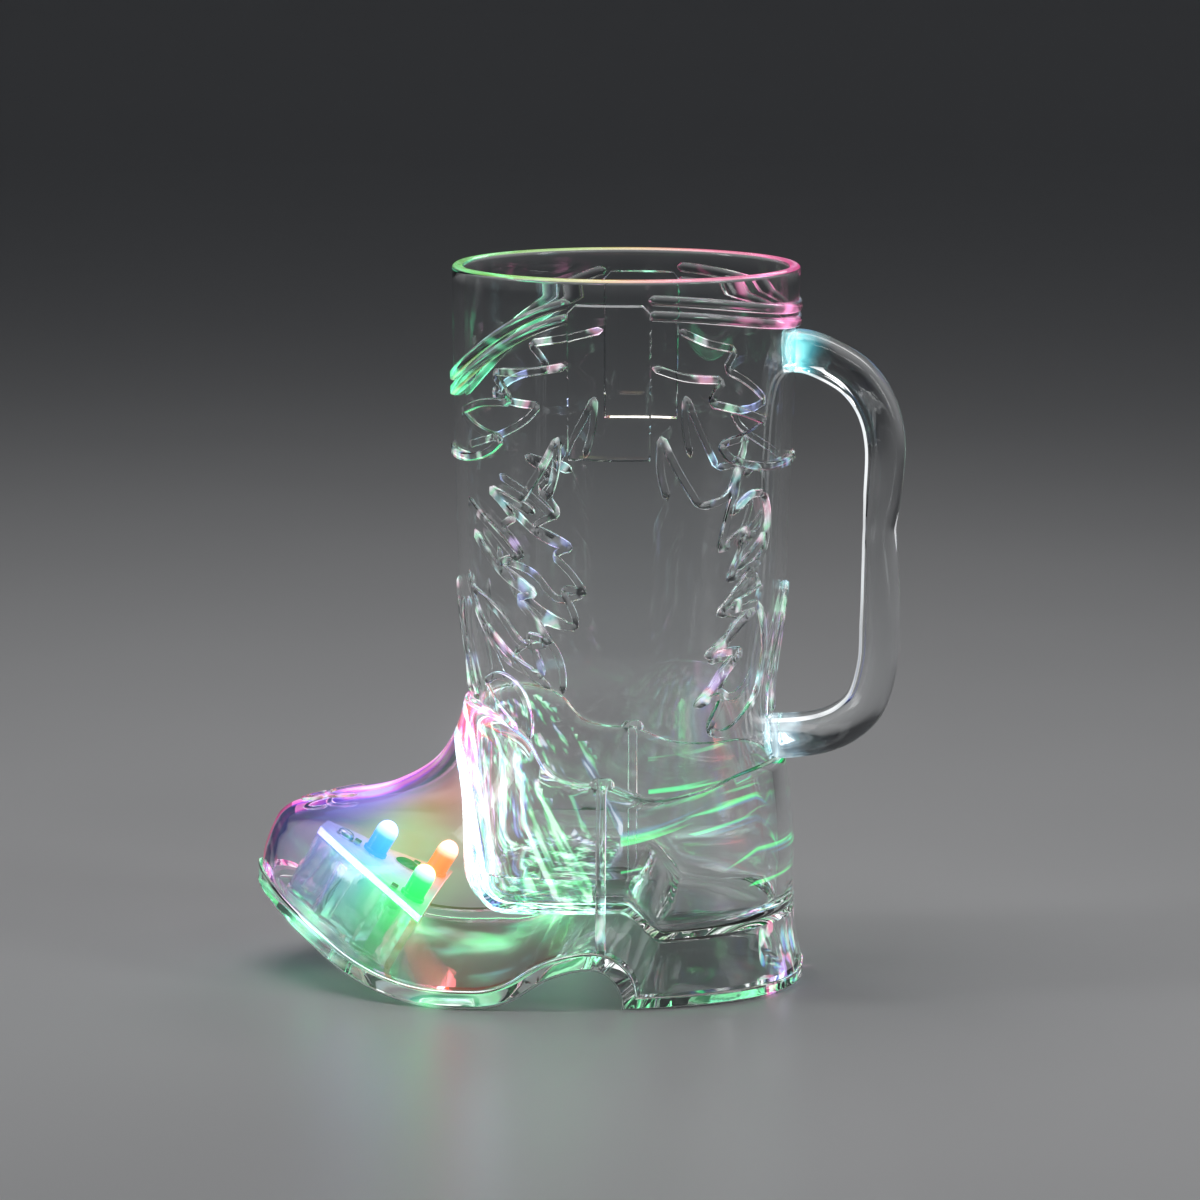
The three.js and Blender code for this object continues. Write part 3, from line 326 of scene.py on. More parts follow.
def module_frame():
    ramp_x, ramp_z = sole_line(SOLE_FLOOR)[1]
    x = -TOE_REACH + MODULE_SETBACK
    z = ramp_z + (ramp_x - x) * math.tan(TOE_RAMP)
    place = Matrix.Translation(Vector((x + SHAFT_X, 0, z)) * MM)
    return place @ Matrix.Rotation(TOE_RAMP, 4, "Y")


# Places in the module, as in the part's source

POSTS = (-15.4, 5.5)
BAY_X = -5.6
BAY_HALF_X = 6.2
BAY_HALF_Y = 9.4
DOOR_SCREW_Y = 13.5
DOOR_SEAT = -1.5
BUTTON_PLACE = (1.6, -14.3, 0)


def bay_outline(clear):
    x, y = BAY_HALF_X + clear, BAY_HALF_Y + clear
    return [(BAY_X + a * x, b * y) for a, b in ((-1, -1), (1, -1), (1, 1), (-1, 1))]


def door_outline(clear):
    x, lug = BAY_HALF_X + 1.6 + clear, 3 + clear
    near, far, end = -BAY_HALF_Y - 0.6 - clear, BAY_HALF_Y + 1.6 + clear, DOOR_SCREW_Y + 3 + clear
    half = [(x, near), (x, far), (lug, far), (lug, end)]
    return [(BAY_X + a, b) for a, b in [*half, *[(-a, b) for a, b in half[::-1]]]]


# Painted light: where the partition's and the heel's painted streaks run, and how far each lamp's painted spill
# reaches.
FAN_X, FAN_Z, FAN_DROP = -31, 92, 55  # where the partition's streaks spread from, and over what drop
SWEEP_RISE = 12  # how far the heel's streaks rise to the back
LAMP_REACH = {"blue": 1.05, "green": 1.0, "red": 1.25}
LAMPS = [("blue", -7.7, 0.0), ("green", 5.2, -17.5), ("red", 6.0, 13.5)]
BOARD_RISE = 15.5
BOARD_TOP = 17.1


# Meshes

def new_object(name, vertices, faces, materials=(), picks=None, local=None):
    """A mesh object from points in millimetres, from the shaft's axis or in the module's frame."""
    points = np.asarray(vertices, float)
    if local is None:
        points = (points + (SHAFT_X, 0, 0)) * MM
    else:
        points = np.array([local @ Vector(p * MM) for p in points])
    mesh = bpy.data.meshes.new(name)
    mesh.from_pydata(points.tolist(), [], [list(map(int, f)) for f in faces])
    for material in materials:
        mesh.materials.append(material)
    if picks is not None:
        mesh.polygons.foreach_set("material_index", np.asarray(picks, dtype=np.int32))
    mesh.update()
    piece = bpy.data.objects.new(name, mesh)
    bpy.context.scene.collection.objects.link(piece)
    return piece


def ring_faces(rows, columns):
    """Quads of a stack of closed rings, the first ring on top, with both ends closed by fans."""
    i, j = np.meshgrid(np.arange(rows - 1), np.arange(columns), indexing="ij")
    k = (j + 1) % columns
    sides = np.stack([i * columns + j, (i + 1) * columns + j, (i + 1) * columns + k, i * columns + k], -1)
    top, low = rows * columns, rows * columns + 1
    last = (rows - 1) * columns
    caps = [(top, a, (a + 1) % columns) for a in range(columns)]
    caps += [(low, last + (a + 1) % columns, last + a) for a in range(columns)]
    return sides.reshape(-1, 4).tolist() + caps


def ring_stack(name, rings, materials=(), picks=None, local=None):
    rings = np.asarray(rings, float)
    rows, columns = rings.shape[:2]
    ends = np.stack([rings[0].mean(axis=0), rings[-1].mean(axis=0)])
    points = np.concatenate([rings.reshape(-1, 3), ends])
    faces = ring_faces(rows, columns)
    if callable(picks):
        picks = picks(np.array([points[list(f)].mean(axis=0) for f in faces]))
    return new_object(name, points, faces, materials, picks, local)


def prism(name, outline, low, high, axis="y", materials=(), local=None):
    """A solid with one outline between two levels, along y (outline in x and z) or along z."""
    flat = np.asarray(outline, float)
    if axis == "y":
        ends = [np.column_stack([flat[:, 0], np.full(len(flat), v), flat[:, 1]]) for v in (low, high)]
    else:
        ends = [np.column_stack([flat, np.full(len(flat), v)]) for v in (low, high)]
    count = len(flat)
    x, y = flat.T
    area = np.dot(x, np.roll(y, -1)) - np.dot(y, np.roll(x, -1))
    sides = [(i, (i + 1) % count, count + (i + 1) % count, count + i) for i in range(count)]
    faces = [tuple(range(count))[::-1], tuple(range(count, 2 * count)), *sides]
    if (area > 0) == (axis == "y"):
        faces = [f[::-1] for f in faces]
    return new_object(name, np.concatenate(ends), faces, materials, None, local)


def turned(name, profile, sides, place, local, materials=(), along="z"):
    """A solid of revolution: a profile of radii and heights, round z or y through a place."""
    turns = np.linspace(0, 2 * math.pi, sides, endpoint=False)
    rings = []
    for radius, height in profile[::-1]:
        radius = max(radius, 1e-3)
        flat = [radius * np.cos(turns), radius * np.sin(turns), np.full(sides, height)]
        if along == "y":
            flat = [flat[0], flat[2], -flat[1]]
        rings.append(np.stack(flat, -1) + np.asarray(place))
    return ring_stack(name, rings, materials, None, local)


def shaped(piece, cutters, operation):
    """Adds, takes away or intersects closed solids, which are used up."""
    for cutter in cutters:
        change = piece.modifiers.new("shape", "BOOLEAN")
        change.operation = operation
        change.object = cutter
        change.solver = "MANIFOLD"
        change.material_mode = "TRANSFER"
    finished = applied(piece)
    for cutter in cutters:
        mesh = cutter.data
        bpy.data.objects.remove(cutter)
        bpy.data.meshes.remove(mesh)
    return finished


def merged(pieces):
    """One solid from many that overlap, joined two by two."""
    while len(pieces) > 1:
        pairs = [pieces[i:i + 2] for i in range(0, len(pieces), 2)]
        pieces = [shaped(pair[0], pair[1:], "UNION") if len(pair) > 1 else pair[0] for pair in pairs]
    return pieces[0]


def applied(piece):
    graph = bpy.context.evaluated_depsgraph_get()
    graph.update()
    mesh = bpy.data.meshes.new_from_object(piece.evaluated_get(graph), preserve_all_data_layers=True,
                                           depsgraph=graph)
    old = piece.data
    piece.modifiers.clear()
    piece.data = mesh
    mesh.name = piece.name
    bpy.data.meshes.remove(old)
    if not len(mesh.polygons):
        raise RuntimeError(f"{piece.name} came out empty")
    return piece


def smooth(piece, degrees=35):
    piece.data.shade_smooth()
    piece.data.set_sharp_from_angle(angle=math.radians(degrees))
    return piece


def dress(piece, body, slot, *nodes):
    """Puts a finished piece on its body and hides what it stands for; the slot argument is not used."""
    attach(piece, body)
    if nodes:
        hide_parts(*nodes)
    return piece


def set_material(node, material):
    mesh = bpy.data.objects[node].data
    mesh.materials.clear()
    mesh.materials.append(material)


# Materials

def new_material(name, **values):
    """A material with one Principled shader, whose plain values are set on its own sockets."""
    material = bpy.data.materials.new(name)
    material.use_nodes = True
    shader = material.node_tree.nodes["Principled BSDF"]
    for socket, value in values.items():
        shader.inputs[socket.replace("_", " ")].default_value = value
    return material


def group_tree(name, inputs, outputs):
    tree = bpy.data.node_groups.new(name, "ShaderNodeTree")
    for label, kind, default in inputs:
        socket = tree.interface.new_socket(name=label, in_out="INPUT", socket_type=kind)
        socket.default_value = default
    for label, kind in outputs:
        tree.interface.new_socket(name=label, in_out="OUTPUT", socket_type=kind)
    return tree, tree.nodes.new("NodeGroupInput"), tree.nodes.new("NodeGroupOutput")


def add(tree, kind, links=None, **settings):
    """Adds one node; links maps its input names to sockets or to plain values."""
    node = tree.nodes.new(kind)
    for key, value in settings.items():
        setattr(node, key, value)
    for name, source in (links or {}).items():
        socket = node.inputs[name]
        if isinstance(source, bpy.types.NodeSocket):
            tree.links.new(source, socket)
        else:
            socket.default_value = source
    return node


def ramp(tree, factor, stops):
    node = add(tree, "ShaderNodeValToRGB", {"Fac": factor})
    elements = node.color_ramp.elements
    while len(elements) < len(stops):
        elements.new(0.5)
    for element, (place, colour) in zip(elements, stops):
        element.position = place
        element.color = (*colour, 1)
    return node


def moulded_finish():
    """Fine unevenness of moulded plastic: roughness that drifts and shallow flow ripples."""
    tree, start, end = group_tree("moulded_finish", [
        ("Roughness", "NodeSocketFloat", 0.03),
        ("Roughness drift", "NodeSocketFloat", 0.03),
        ("Ripple scale", "NodeSocketFloat", 90.0),
        ("Ripple depth", "NodeSocketFloat", 0.02),
    ], [("Roughness", "NodeSocketFloat"), ("Normal", "NodeSocketVector")])
    place = add(tree, "ShaderNodeTexCoord").outputs["Object"]
    drift = add(tree, "ShaderNodeTexNoise", {"Vector": place, "Scale": 55.0, "Detail": 4.0})
    spread = add(tree, "ShaderNodeMath", {0: drift.outputs["Fac"], 1: start.outputs["Roughness drift"],
                                          2: start.outputs["Roughness"]}, operation="MULTIPLY_ADD")
    ripple = add(tree, "ShaderNodeTexNoise", {"Vector": place, "Scale": start.outputs["Ripple scale"],
                                              "Detail": 1.5, "Roughness": 0.4})
    bump = add(tree, "ShaderNodeBump", {"Height": ripple.outputs["Fac"], "Distance": 0.001,
                                        "Strength": start.outputs["Ripple depth"]})
    tree.links.new(spread.outputs[0], end.inputs["Roughness"])
    tree.links.new(bump.outputs["Normal"], end.inputs["Normal"])
    return tree


def edge_glints():
    """Painted glints: broken spots and streaks of emission that stand in for lamp light piped out by the edges of the
    clear moulding.
    """
    tree, start, end = group_tree("edge_glints", [
        ("Place", "NodeSocketVector", (0, 0, 0)),
        ("Stretch", "NodeSocketVector", (1, 1, 1)),
        ("Scale", "NodeSocketFloat", 120.0),
        ("Cover", "NodeSocketFloat", 0.4),
        ("Softness", "NodeSocketFloat", 0.1),
        ("Paleness", "NodeSocketFloat", 0.4),
        ("Core", "NodeSocketFloat", 0.0),
        ("Tint", "NodeSocketColor", (1, 1, 1, 1)),
    ], [("Colour", "NodeSocketColor"), ("Mask", "NodeSocketFloat")])
    scaled = add(tree, "ShaderNodeVectorMath", {0: start.outputs["Place"], 1: start.outputs["Stretch"]},
                 operation="MULTIPLY")
    spots = add(tree, "ShaderNodeTexNoise", {"Vector": scaled.outputs[0], "Scale": start.outputs["Scale"],
                                             "Detail": 2.0, "Roughness": 0.6})
    limit = add(tree, "ShaderNodeMath", {0: 0.85, 1: start.outputs["Cover"]}, operation="SUBTRACT")
    top = add(tree, "ShaderNodeMath", {0: limit.outputs[0], 1: start.outputs["Softness"]}, operation="ADD")
    mask = add(tree, "ShaderNodeMapRange", {"Value": spots.outputs["Fac"], "From Min": limit.outputs[0],
                                            "From Max": top.outputs[0]}, interpolation_type="SMOOTHSTEP")
    shift = add(tree, "ShaderNodeVectorMath", {0: scaled.outputs[0], 1: (3.1, 7.7, 1.3)}, operation="ADD")
    hue = add(tree, "ShaderNodeTexNoise", {"Vector": shift.outputs[0], "Scale": start.outputs["Scale"],
                                           "Detail": 0.0})
    colours = ramp(tree, hue.outputs["Fac"], [
        (0.30, (0.05, 0.15, 1.0)), (0.40, (0.1, 0.95, 0.9)), (0.47, (0.9, 1.0, 1.0)),
        (0.52, (0.1, 1.0, 0.4)), (0.58, (0.95, 0.95, 1.0)), (0.66, (1.0, 0.1, 0.35)),
        (0.75, (0.55, 0.2, 1.0))])
    colours.color_ramp.interpolation = "EASE"
    pale = add(tree, "ShaderNodeMix", {0: start.outputs["Paleness"], 6: colours.outputs["Color"],
                                       7: (0.95, 0.98, 1, 1)}, data_type="RGBA")
    tinted = add(tree, "ShaderNodeMix", {0: 1.0, 6: pale.outputs[2], 7: start.outputs["Tint"]},
                 data_type="RGBA", blend_type="MULTIPLY")
    heart = add(tree, "ShaderNodeMath", {0: mask.outputs[0], 1: 3.0}, operation="POWER")
    white = add(tree, "ShaderNodeMath", {0: heart.outputs[0], 1: start.outputs["Core"]}, operation="MULTIPLY")
    cored = add(tree, "ShaderNodeMix", {0: white.outputs[0], 6: tinted.outputs[2], 7: (1, 1, 1, 1)},
                data_type="RGBA")
    lit = add(tree, "ShaderNodeMix", {0: mask.outputs[0], 6: (0, 0, 0, 1), 7: cored.outputs[2]},
              data_type="RGBA")
    tree.links.new(lit.outputs[2], end.inputs["Colour"])
    tree.links.new(mask.outputs[0], end.inputs["Mask"])
    return tree


def lamp_spill():
    """Painted spill: emission that stands in for the light of the three lamps on what stands near them, falling off
    with the distance.
    """
    tree, start, end = group_tree("lamp_spill", [("Reach", "NodeSocketFloat", 0.01),
                                                 ("Falloff", "NodeSocketFloat", -2.0)],
                                  [("Colour", "NodeSocketColor")])
    place = add(tree, "ShaderNodeTexCoord").outputs["Object"]
    lamps = bpy.context.scene.cup_lamps
    total = None
    for name, x, y in LAMPS:
        heart = module_frame() @ (Vector((x, y, BOARD_TOP + 6)) * MM)
        away = add(tree, "ShaderNodeVectorMath", {0: place, 1: heart}, operation="DISTANCE")
        share = add(tree, "ShaderNodeMath", {0: away.outputs["Value"], 1: start.outputs["Reach"]},
                    operation="DIVIDE")
        reach = LAMP_REACH[name] ** -1
        spread = add(tree, "ShaderNodeMath", {0: share.outputs[0], 1: reach}, operation="MULTIPLY")
        square = add(tree, "ShaderNodeMath", {0: spread.outputs[0], 1: 2.0}, operation="POWER")
        drop = add(tree, "ShaderNodeMath", {0: square.outputs[0], 1: 1.0}, operation="ADD")
        fall = add(tree, "ShaderNodeMath", {0: drop.outputs[0], 1: start.outputs["Falloff"]}, operation="POWER")
        lit = add(tree, "ShaderNodeVectorMath", {0: tuple(getattr(lamps, name))[:3], "Scale": fall.outputs[0]},
                  operation="SCALE")
        if total is None:
            total = lit.outputs[0]
        else:
            total = add(tree, "ShaderNodeVectorMath", {0: total, 1: lit.outputs[0]}, operation="ADD").outputs[0]
    tree.links.new(total, end.inputs["Colour"])
    return tree


def brushed_metal():
    """Plated metal: fine drawn scratches, dull patches and a slight drift of colour."""
    tree, start, end = group_tree("brushed_metal", [
        ("Colour", "NodeSocketColor", (0.7, 0.7, 0.72, 1)),
        ("Dull colour", "NodeSocketColor", (0.45, 0.45, 0.46, 1)),
        ("Stretch", "NodeSocketVector", (1, 1, 1)),
        ("Scale", "NodeSocketFloat", 900.0),
        ("Roughness", "NodeSocketFloat", 0.25),
    ], [("Colour", "NodeSocketColor"), ("Roughness", "NodeSocketFloat"), ("Normal", "NodeSocketVector")])
    place = add(tree, "ShaderNodeTexCoord").outputs["Object"]
    drawn = add(tree, "ShaderNodeVectorMath", {0: place, 1: start.outputs["Stretch"]}, operation="MULTIPLY")
    lines = add(tree, "ShaderNodeTexNoise", {"Vector": drawn.outputs[0], "Scale": start.outputs["Scale"],
                                             "Detail": 4.0, "Roughness": 0.6})
    patches = add(tree, "ShaderNodeTexNoise", {"Vector": place, "Scale": 260.0, "Detail": 3.0})
    dull = add(tree, "ShaderNodeMapRange", {"Value": patches.outputs["Fac"], "From Min": 0.45, "From Max": 0.75})
    colour = add(tree, "ShaderNodeMix", {0: dull.outputs[0], 6: start.outputs["Colour"],
                                         7: start.outputs["Dull colour"]}, data_type="RGBA")
    rough = add(tree, "ShaderNodeMath", {0: lines.outputs["Fac"], 1: 0.25, 2: start.outputs["Roughness"]},
                operation="MULTIPLY_ADD")
    bump = add(tree, "ShaderNodeBump", {"Height": lines.outputs["Fac"], "Distance": 0.0001, "Strength": 0.25})
    tree.links.new(colour.outputs[2], end.inputs["Colour"])
    tree.links.new(rough.outputs[0], end.inputs["Roughness"])
    tree.links.new(bump.outputs["Normal"], end.inputs["Normal"])
    return tree


def group_in(material, tree, **values):
    """Places a shared effect in a material with its own values."""
    node = material.node_tree.nodes.new("ShaderNodeGroup")
    node.node_tree = bpy.data.node_groups[tree]
    for name, value in values.items():
        node.inputs[name.replace("_", " ")].default_value = value
    return node


def feed(material, **links):
    shader = material.node_tree.nodes["Principled BSDF"]
    for socket, source in links.items():
        material.node_tree.links.new(source, shader.inputs[socket.replace("_", " ")])
    return material


def clear_plastic(name, glow=0.0, ripple=0.012):
    """The clear moulding; glow is the strength of lamp light painted on it as emission, whose colour is fed by the
    caller.
    """
    plastic = bpy.context.scene.cup_plastic
    material = new_material(name, Base_Color=plastic.clear_colour, IOR=plastic.ior,
                            Transmission_Weight=1.0, Emission_Strength=glow)
    finish = group_in(material, "moulded_finish", Roughness=0.0, Roughness_drift=0.02,
                      Ripple_scale=70.0, Ripple_depth=ripple)
    feed(material, Roughness=finish.outputs["Roughness"], Normal=finish.outputs["Normal"])
    return material


def paint_glints_in(material, lay=None, **values):
    """Places the painted glints in a material; lay bends the way that its painted streaks run."""
    tree = material.node_tree
    place = add(tree, "ShaderNodeTexCoord").outputs["Object"]
    glints = group_in(material, "edge_glints", **values)
    tree.links.new(lay(tree, place) if lay else place, glints.inputs["Place"])
    return glints


def glint_painted_plastic(name, strength, lay=None, **values):
    """Clear plastic with painted glints: emission that stands in for the lamps' light piped out by its edges."""
    material = clear_plastic(name, strength)
    return feed(material, Emission_Color=paint_glints_in(material, lay, **values).outputs["Colour"])


def rising_lay(tree, place):
    """Painted streaks that sweep up towards the back of the heel."""
    split = add(tree, "ShaderNodeSeparateXYZ", {"Vector": place})
    share = add(tree, "ShaderNodeMapRange", {"Value": split.outputs["X"], "From Min": 0.002, "From Max": 0.042})
    bend = add(tree, "ShaderNodeMath", {0: share.outputs[0], 1: 2.0}, operation="POWER")
    rise = add(tree, "ShaderNodeMath", {0: bend.outputs[0], 1: SWEEP_RISE * MM}, operation="MULTIPLY")
    level = add(tree, "ShaderNodeMath", {0: split.outputs["Z"], 1: rise.outputs[0]}, operation="SUBTRACT")
    return add(tree, "ShaderNodeCombineXYZ", {"X": split.outputs["X"], "Y": split.outputs["Y"],
                                              "Z": level.outputs[0]}).outputs[0]


def fan_lay(tree, place):
    """Painted streaks that spread down and back from a point over the ankle."""
    split = add(tree, "ShaderNodeSeparateXYZ", {"Vector": place})
    back = add(tree, "ShaderNodeMath", {0: split.outputs["X"], 1: FAN_X * MM}, operation="SUBTRACT")
    down = add(tree, "ShaderNodeMath", {0: FAN_Z * MM, 1: split.outputs["Z"]}, operation="SUBTRACT")
    turn = add(tree, "ShaderNodeMath", {0: back.outputs[0], 1: down.outputs[0]}, operation="ARCTAN2")
    across = add(tree, "ShaderNodeMath", {0: turn.outputs[0], 1: FAN_DROP * MM}, operation="MULTIPLY")
    return add(tree, "ShaderNodeCombineXYZ", {"X": across.outputs[0], "Y": split.outputs["Y"],
                                              "Z": split.outputs["Z"]}).outputs[0]


def partition_plastic(strength):
    """The wall behind the lamps, with painted light: a fan of white-hot streaks of emission, pink in front and green
    towards the heel.
    """
    material = clear_plastic("lit_partition", strength)
    tree = material.node_tree
    glints = paint_glints_in(material, fan_lay, Stretch=(2.2, 1.2, 0.08), Scale=190.0, Cover=0.36, Softness=0.15,
                       Paleness=0.0, Core=0.45)
    place = add(tree, "ShaderNodeTexCoord").outputs["Object"]
    split = add(tree, "ShaderNodeSeparateXYZ", {"Vector": place})
    along = add(tree, "ShaderNodeMapRange", {"Value": split.outputs["X"], "From Min": -0.034, "From Max": -0.004})
    glow_colour = ramp(tree, along.outputs[0], [(0.0, (1, 0.25, 0.65)), (0.25, (1, 0.8, 1)), (0.5, (0.7, 1, 0.85)),
                                         (0.75, (0.12, 1, 0.4)), (1.0, (0.1, 0.7, 0.3))])
    tree.links.new(glow_colour.outputs["Color"], glints.inputs["Tint"])
    return feed(material, Emission_Color=glints.outputs["Colour"])


def paint_spill_on(material, reach, falloff=-2.0):
    """Paints the lamps' light on a material as emission."""
    spill = group_in(material, "lamp_spill", Reach=reach, Falloff=falloff)
    return feed(material, Emission_Color=spill.outputs["Colour"])


def frosted_plastic(name, reach, strength):
    """Frosted clear plastic with the lamps' colours painted on it as emission."""
    plastic = bpy.context.scene.cup_plastic
    material = new_material(name, Base_Color=plastic.frosted_colour, IOR=1.5, Transmission_Weight=0.9,
                            Emission_Strength=strength)
    finish = group_in(material, "moulded_finish", Roughness=0.04, Roughness_drift=0.16,
                      Ripple_scale=900.0, Ripple_depth=0.04)
    feed(material, Roughness=finish.outputs["Roughness"], Normal=finish.outputs["Normal"])
    return paint_spill_on(material, reach)


def moulded_plastic(name, colour, rough, strength=0.0):
    """Opaque moulded plastic with a fine grain; a strength paints the lamps' light on it as emission."""
    material = new_material(name, Base_Color=colour, Emission_Strength=strength)
    finish = group_in(material, "moulded_finish", Roughness=rough, Roughness_drift=0.2,
                      Ripple_scale=1800.0, Ripple_depth=0.12)
    feed(material, Roughness=finish.outputs["Roughness"], Normal=finish.outputs["Normal"])
    return paint_spill_on(material, 0.012) if strength else material


def plated_metal(name, colour, dull, stretch, rough):
    material = new_material(name, Metallic=1.0)
    finish = group_in(material, "brushed_metal", Colour=(*colour, 1), Dull_colour=(*dull, 1), Stretch=stretch,
                      Roughness=rough)
    return feed(material, Base_Color=finish.outputs["Colour"], Roughness=finish.outputs["Roughness"],
                Normal=finish.outputs["Normal"])


def instep_plastic():
    """The top of the foot, with pink and violet light painted along its ridge as emission, standing in for light piped
    by the wall.
    """
    material = clear_plastic("lit_instep", 0.8)
    tree = material.node_tree
    place = add(tree, "ShaderNodeTexCoord").outputs["Object"]
    split = add(tree, "ShaderNodeSeparateXYZ", {"Vector": place})
    side = add(tree, "ShaderNodeMath", {0: split.outputs["Y"]}, operation="ABSOLUTE")
    ridge = add(tree, "ShaderNodeMapRange", {"Value": side.outputs[0], "From Min": 0.0075, "From Max": 0.0005},
                interpolation_type="SMOOTHSTEP")
    patches = add(tree, "ShaderNodeTexNoise", {"Vector": place, "Scale": 75.0, "Detail": 3.0})
    amount = add(tree, "ShaderNodeMath", {0: ridge.outputs[0], 1: patches.outputs["Fac"]}, operation="MULTIPLY")
    glow_colour = ramp(tree, amount.outputs[0], [(0.22, (0, 0, 0)), (0.34, (0.2, 0.04, 0.6)),
                                          (0.44, (0.95, 0.12, 0.65)), (0.6, (1, 0.75, 0.95))])
    return feed(material, Emission_Color=glow_colour.outputs["Color"])


def collar_plastic():
    """The collar's cords: painted streaks of emission, green at the toe side and pink at the handle side."""
    material = clear_plastic("lit_collar", 0.9)
    tree = material.node_tree
    glints = paint_glints_in(material, Stretch=(0.5, 0.5, 1.2), Scale=90.0, Cover=0.34, Softness=0.12)
    place = add(tree, "ShaderNodeTexCoord").outputs["Object"]
    split = add(tree, "ShaderNodeSeparateXYZ", {"Vector": place})
    across = add(tree, "ShaderNodeMapRange", {"Value": split.outputs["X"],
                                              "From Min": (SHAFT_X - RIM_RADIUS) * MM,
                                              "From Max": (SHAFT_X + RIM_RADIUS) * MM})
    glow_colour = ramp(tree, across.outputs[0], [(0.0, (0.1, 0.9, 0.4)), (0.35, (0.1, 0.7, 0.35)),
                                          (0.5, (0.6, 0.6, 0.65)), (0.7, (1, 0.12, 0.4)), (1.0, (0.95, 0.3, 0.6))])
    lit = add(tree, "ShaderNodeMix", {0: glints.outputs["Mask"], 6: (0, 0, 0, 1), 7: glow_colour.outputs["Color"]},
              data_type="RGBA")
    return feed(material, Emission_Color=lit.outputs[2])


def rim_plastic():
    """The drinking edge: light painted on it as emission runs from green at the toe side to pink at the handle side.
    """
    material = clear_plastic("lit_rim", 0.75)
    tree = material.node_tree
    place = add(tree, "ShaderNodeTexCoord").outputs["Object"]
    split = add(tree, "ShaderNodeSeparateXYZ", {"Vector": place})
    left = (SHAFT_X - RIM_RADIUS) * MM
    right = (SHAFT_X + RIM_RADIUS) * MM
    across = add(tree, "ShaderNodeMapRange", {"Value": split.outputs["X"], "From Min": left,
                                              "From Max": right})
    glow_colour = ramp(tree, across.outputs[0], [
        (0.0, (0.12, 0.5, 0.08)), (0.3, (0.4, 0.65, 0.12)), (0.5, (0.8, 0.5, 0.2)),
        (0.7, (0.95, 0.2, 0.35)), (1.0, (0.75, 0.06, 0.28))])
    return feed(material, Emission_Color=glow_colour.outputs["Color"])


# Boot body

def boot_form(name, out, rows, columns, materials=()):
    """A plain closed boot, moved out by a distance, for cutting."""
    turns = np.linspace(0, 2 * math.pi, columns, endpoint=False)
    places = np.linspace(0, len(STATIONS) - 1, rows)[:, None] * np.ones(columns)
    rings = boot_points(places, turns, np.full(places.shape, out))
    top, low = rings[0].copy(), rings[-1].copy()
    top[:, 2] = CUP_HEIGHT + 5
    low[:, 2] = -12
    return ring_stack(name, np.concatenate([top[None], rings[1:-1], low[None]]), materials)


def outer_form(materials):
    """The boot's outside with its rounded rim and the step where the foot overlaps the shaft."""
    relief = bpy.context.scene.cup_relief
    round_off = relief.rim_round / MM
    turns = np.linspace(0, 2 * math.pi, relief.columns, endpoint=False)
    start = place_where(turns, lambda x: np.full_like(x, CUP_HEIGHT - round_off), 0, 1)
    step = place_where(turns, vamp_height, 2.0, 6.0)
    half = 0.025
    last = len(STATIONS) - 1
    upper = start + (step - half - start) * np.linspace(0, 1, 60)[:, None]
    middle = step + half * np.array([-0.5, 0, 0.5])[:, None]
    lower = step + half + (last - step - half) * np.linspace(0, 1, 64)[:, None] ** 0.9
    places = np.concatenate([upper, middle, lower])
    out = LAYER * ease((places - step + half) / (2 * half))
    rings = boot_points(places, turns, out)
    rings[..., 0] = np.maximum(rings[..., 0], -TOE_REACH)
    rim = []
    for turn in np.linspace(math.pi / 2, 0, 7)[:-1]:
        inset = np.full((1, len(turns)), -round_off * (1 - math.cos(turn)))
        ring = boot_points(np.zeros_like(inset), turns, inset)[0]
        ring[:, 2] = CUP_HEIGHT - round_off * (1 - math.sin(turn))
        rim.append(ring)
    low = rings[-1].copy()
    low[:, 2] = -12
    stack = np.concatenate([np.array(rim), rings, low[None]])

    def picks(middles):
        x, y, z = middles.T
        # The instep, the heel and the rim get materials with painted glow.
        instep = (x < -34) & (x > -78) & (z > 33) & (z < 66) & (np.abs(y) < 12)
        heel = (x > 33) & (z < 17)
        chosen = np.where(instep, 3, np.where(heel, 5, 0))
        return np.where(z > CUP_HEIGHT - round_off * 0.4, 1, chosen)

    return ring_stack("boot_shell", stack, materials, picks)


def vessel_radii(inside, height, turns, grow):
    """How far the drink reaches from the shaft's axis, each way at one height."""
    radii = []
    for turn in turns:
        way = Vector((math.cos(turn), math.sin(turn), 0))
        z = min(height, CUP_HEIGHT - 0.5)
        hit = inside.ray_cast(Vector((SHAFT_X * MM, 0, z * MM)), way)[0]
        if hit is None:
            raise RuntimeError("the vessel's wall was missed")
        radii.append((hit - Vector((SHAFT_X * MM, 0, z * MM))).length / MM)
    radii = np.array(radii)
    c, s = np.cos(turns), np.sin(turns)
    zone = 1 / np.sqrt((c / VESSEL_FRONT) ** 2 + (s / VESSEL_SPREAD) ** 2)
    zone = np.where(c < 0, zone, FAR)
    zone = zone + 60 * ease((height - ANKLE_HEIGHT + 6) / 8)
    soft = 3.0
    blend = np.clip(0.5 + 0.5 * (zone - radii) / soft, 0, 1)
    both = zone * (1 - blend) + radii * blend - soft * blend * (1 - blend)
    return both + grow


def vessel_floor(x):
    return VESSEL_FLOOR + VESSEL_STEP * ease((STEP_PLACE + VESSEL_STEP + 1 - x) / (VESSEL_STEP + 2))


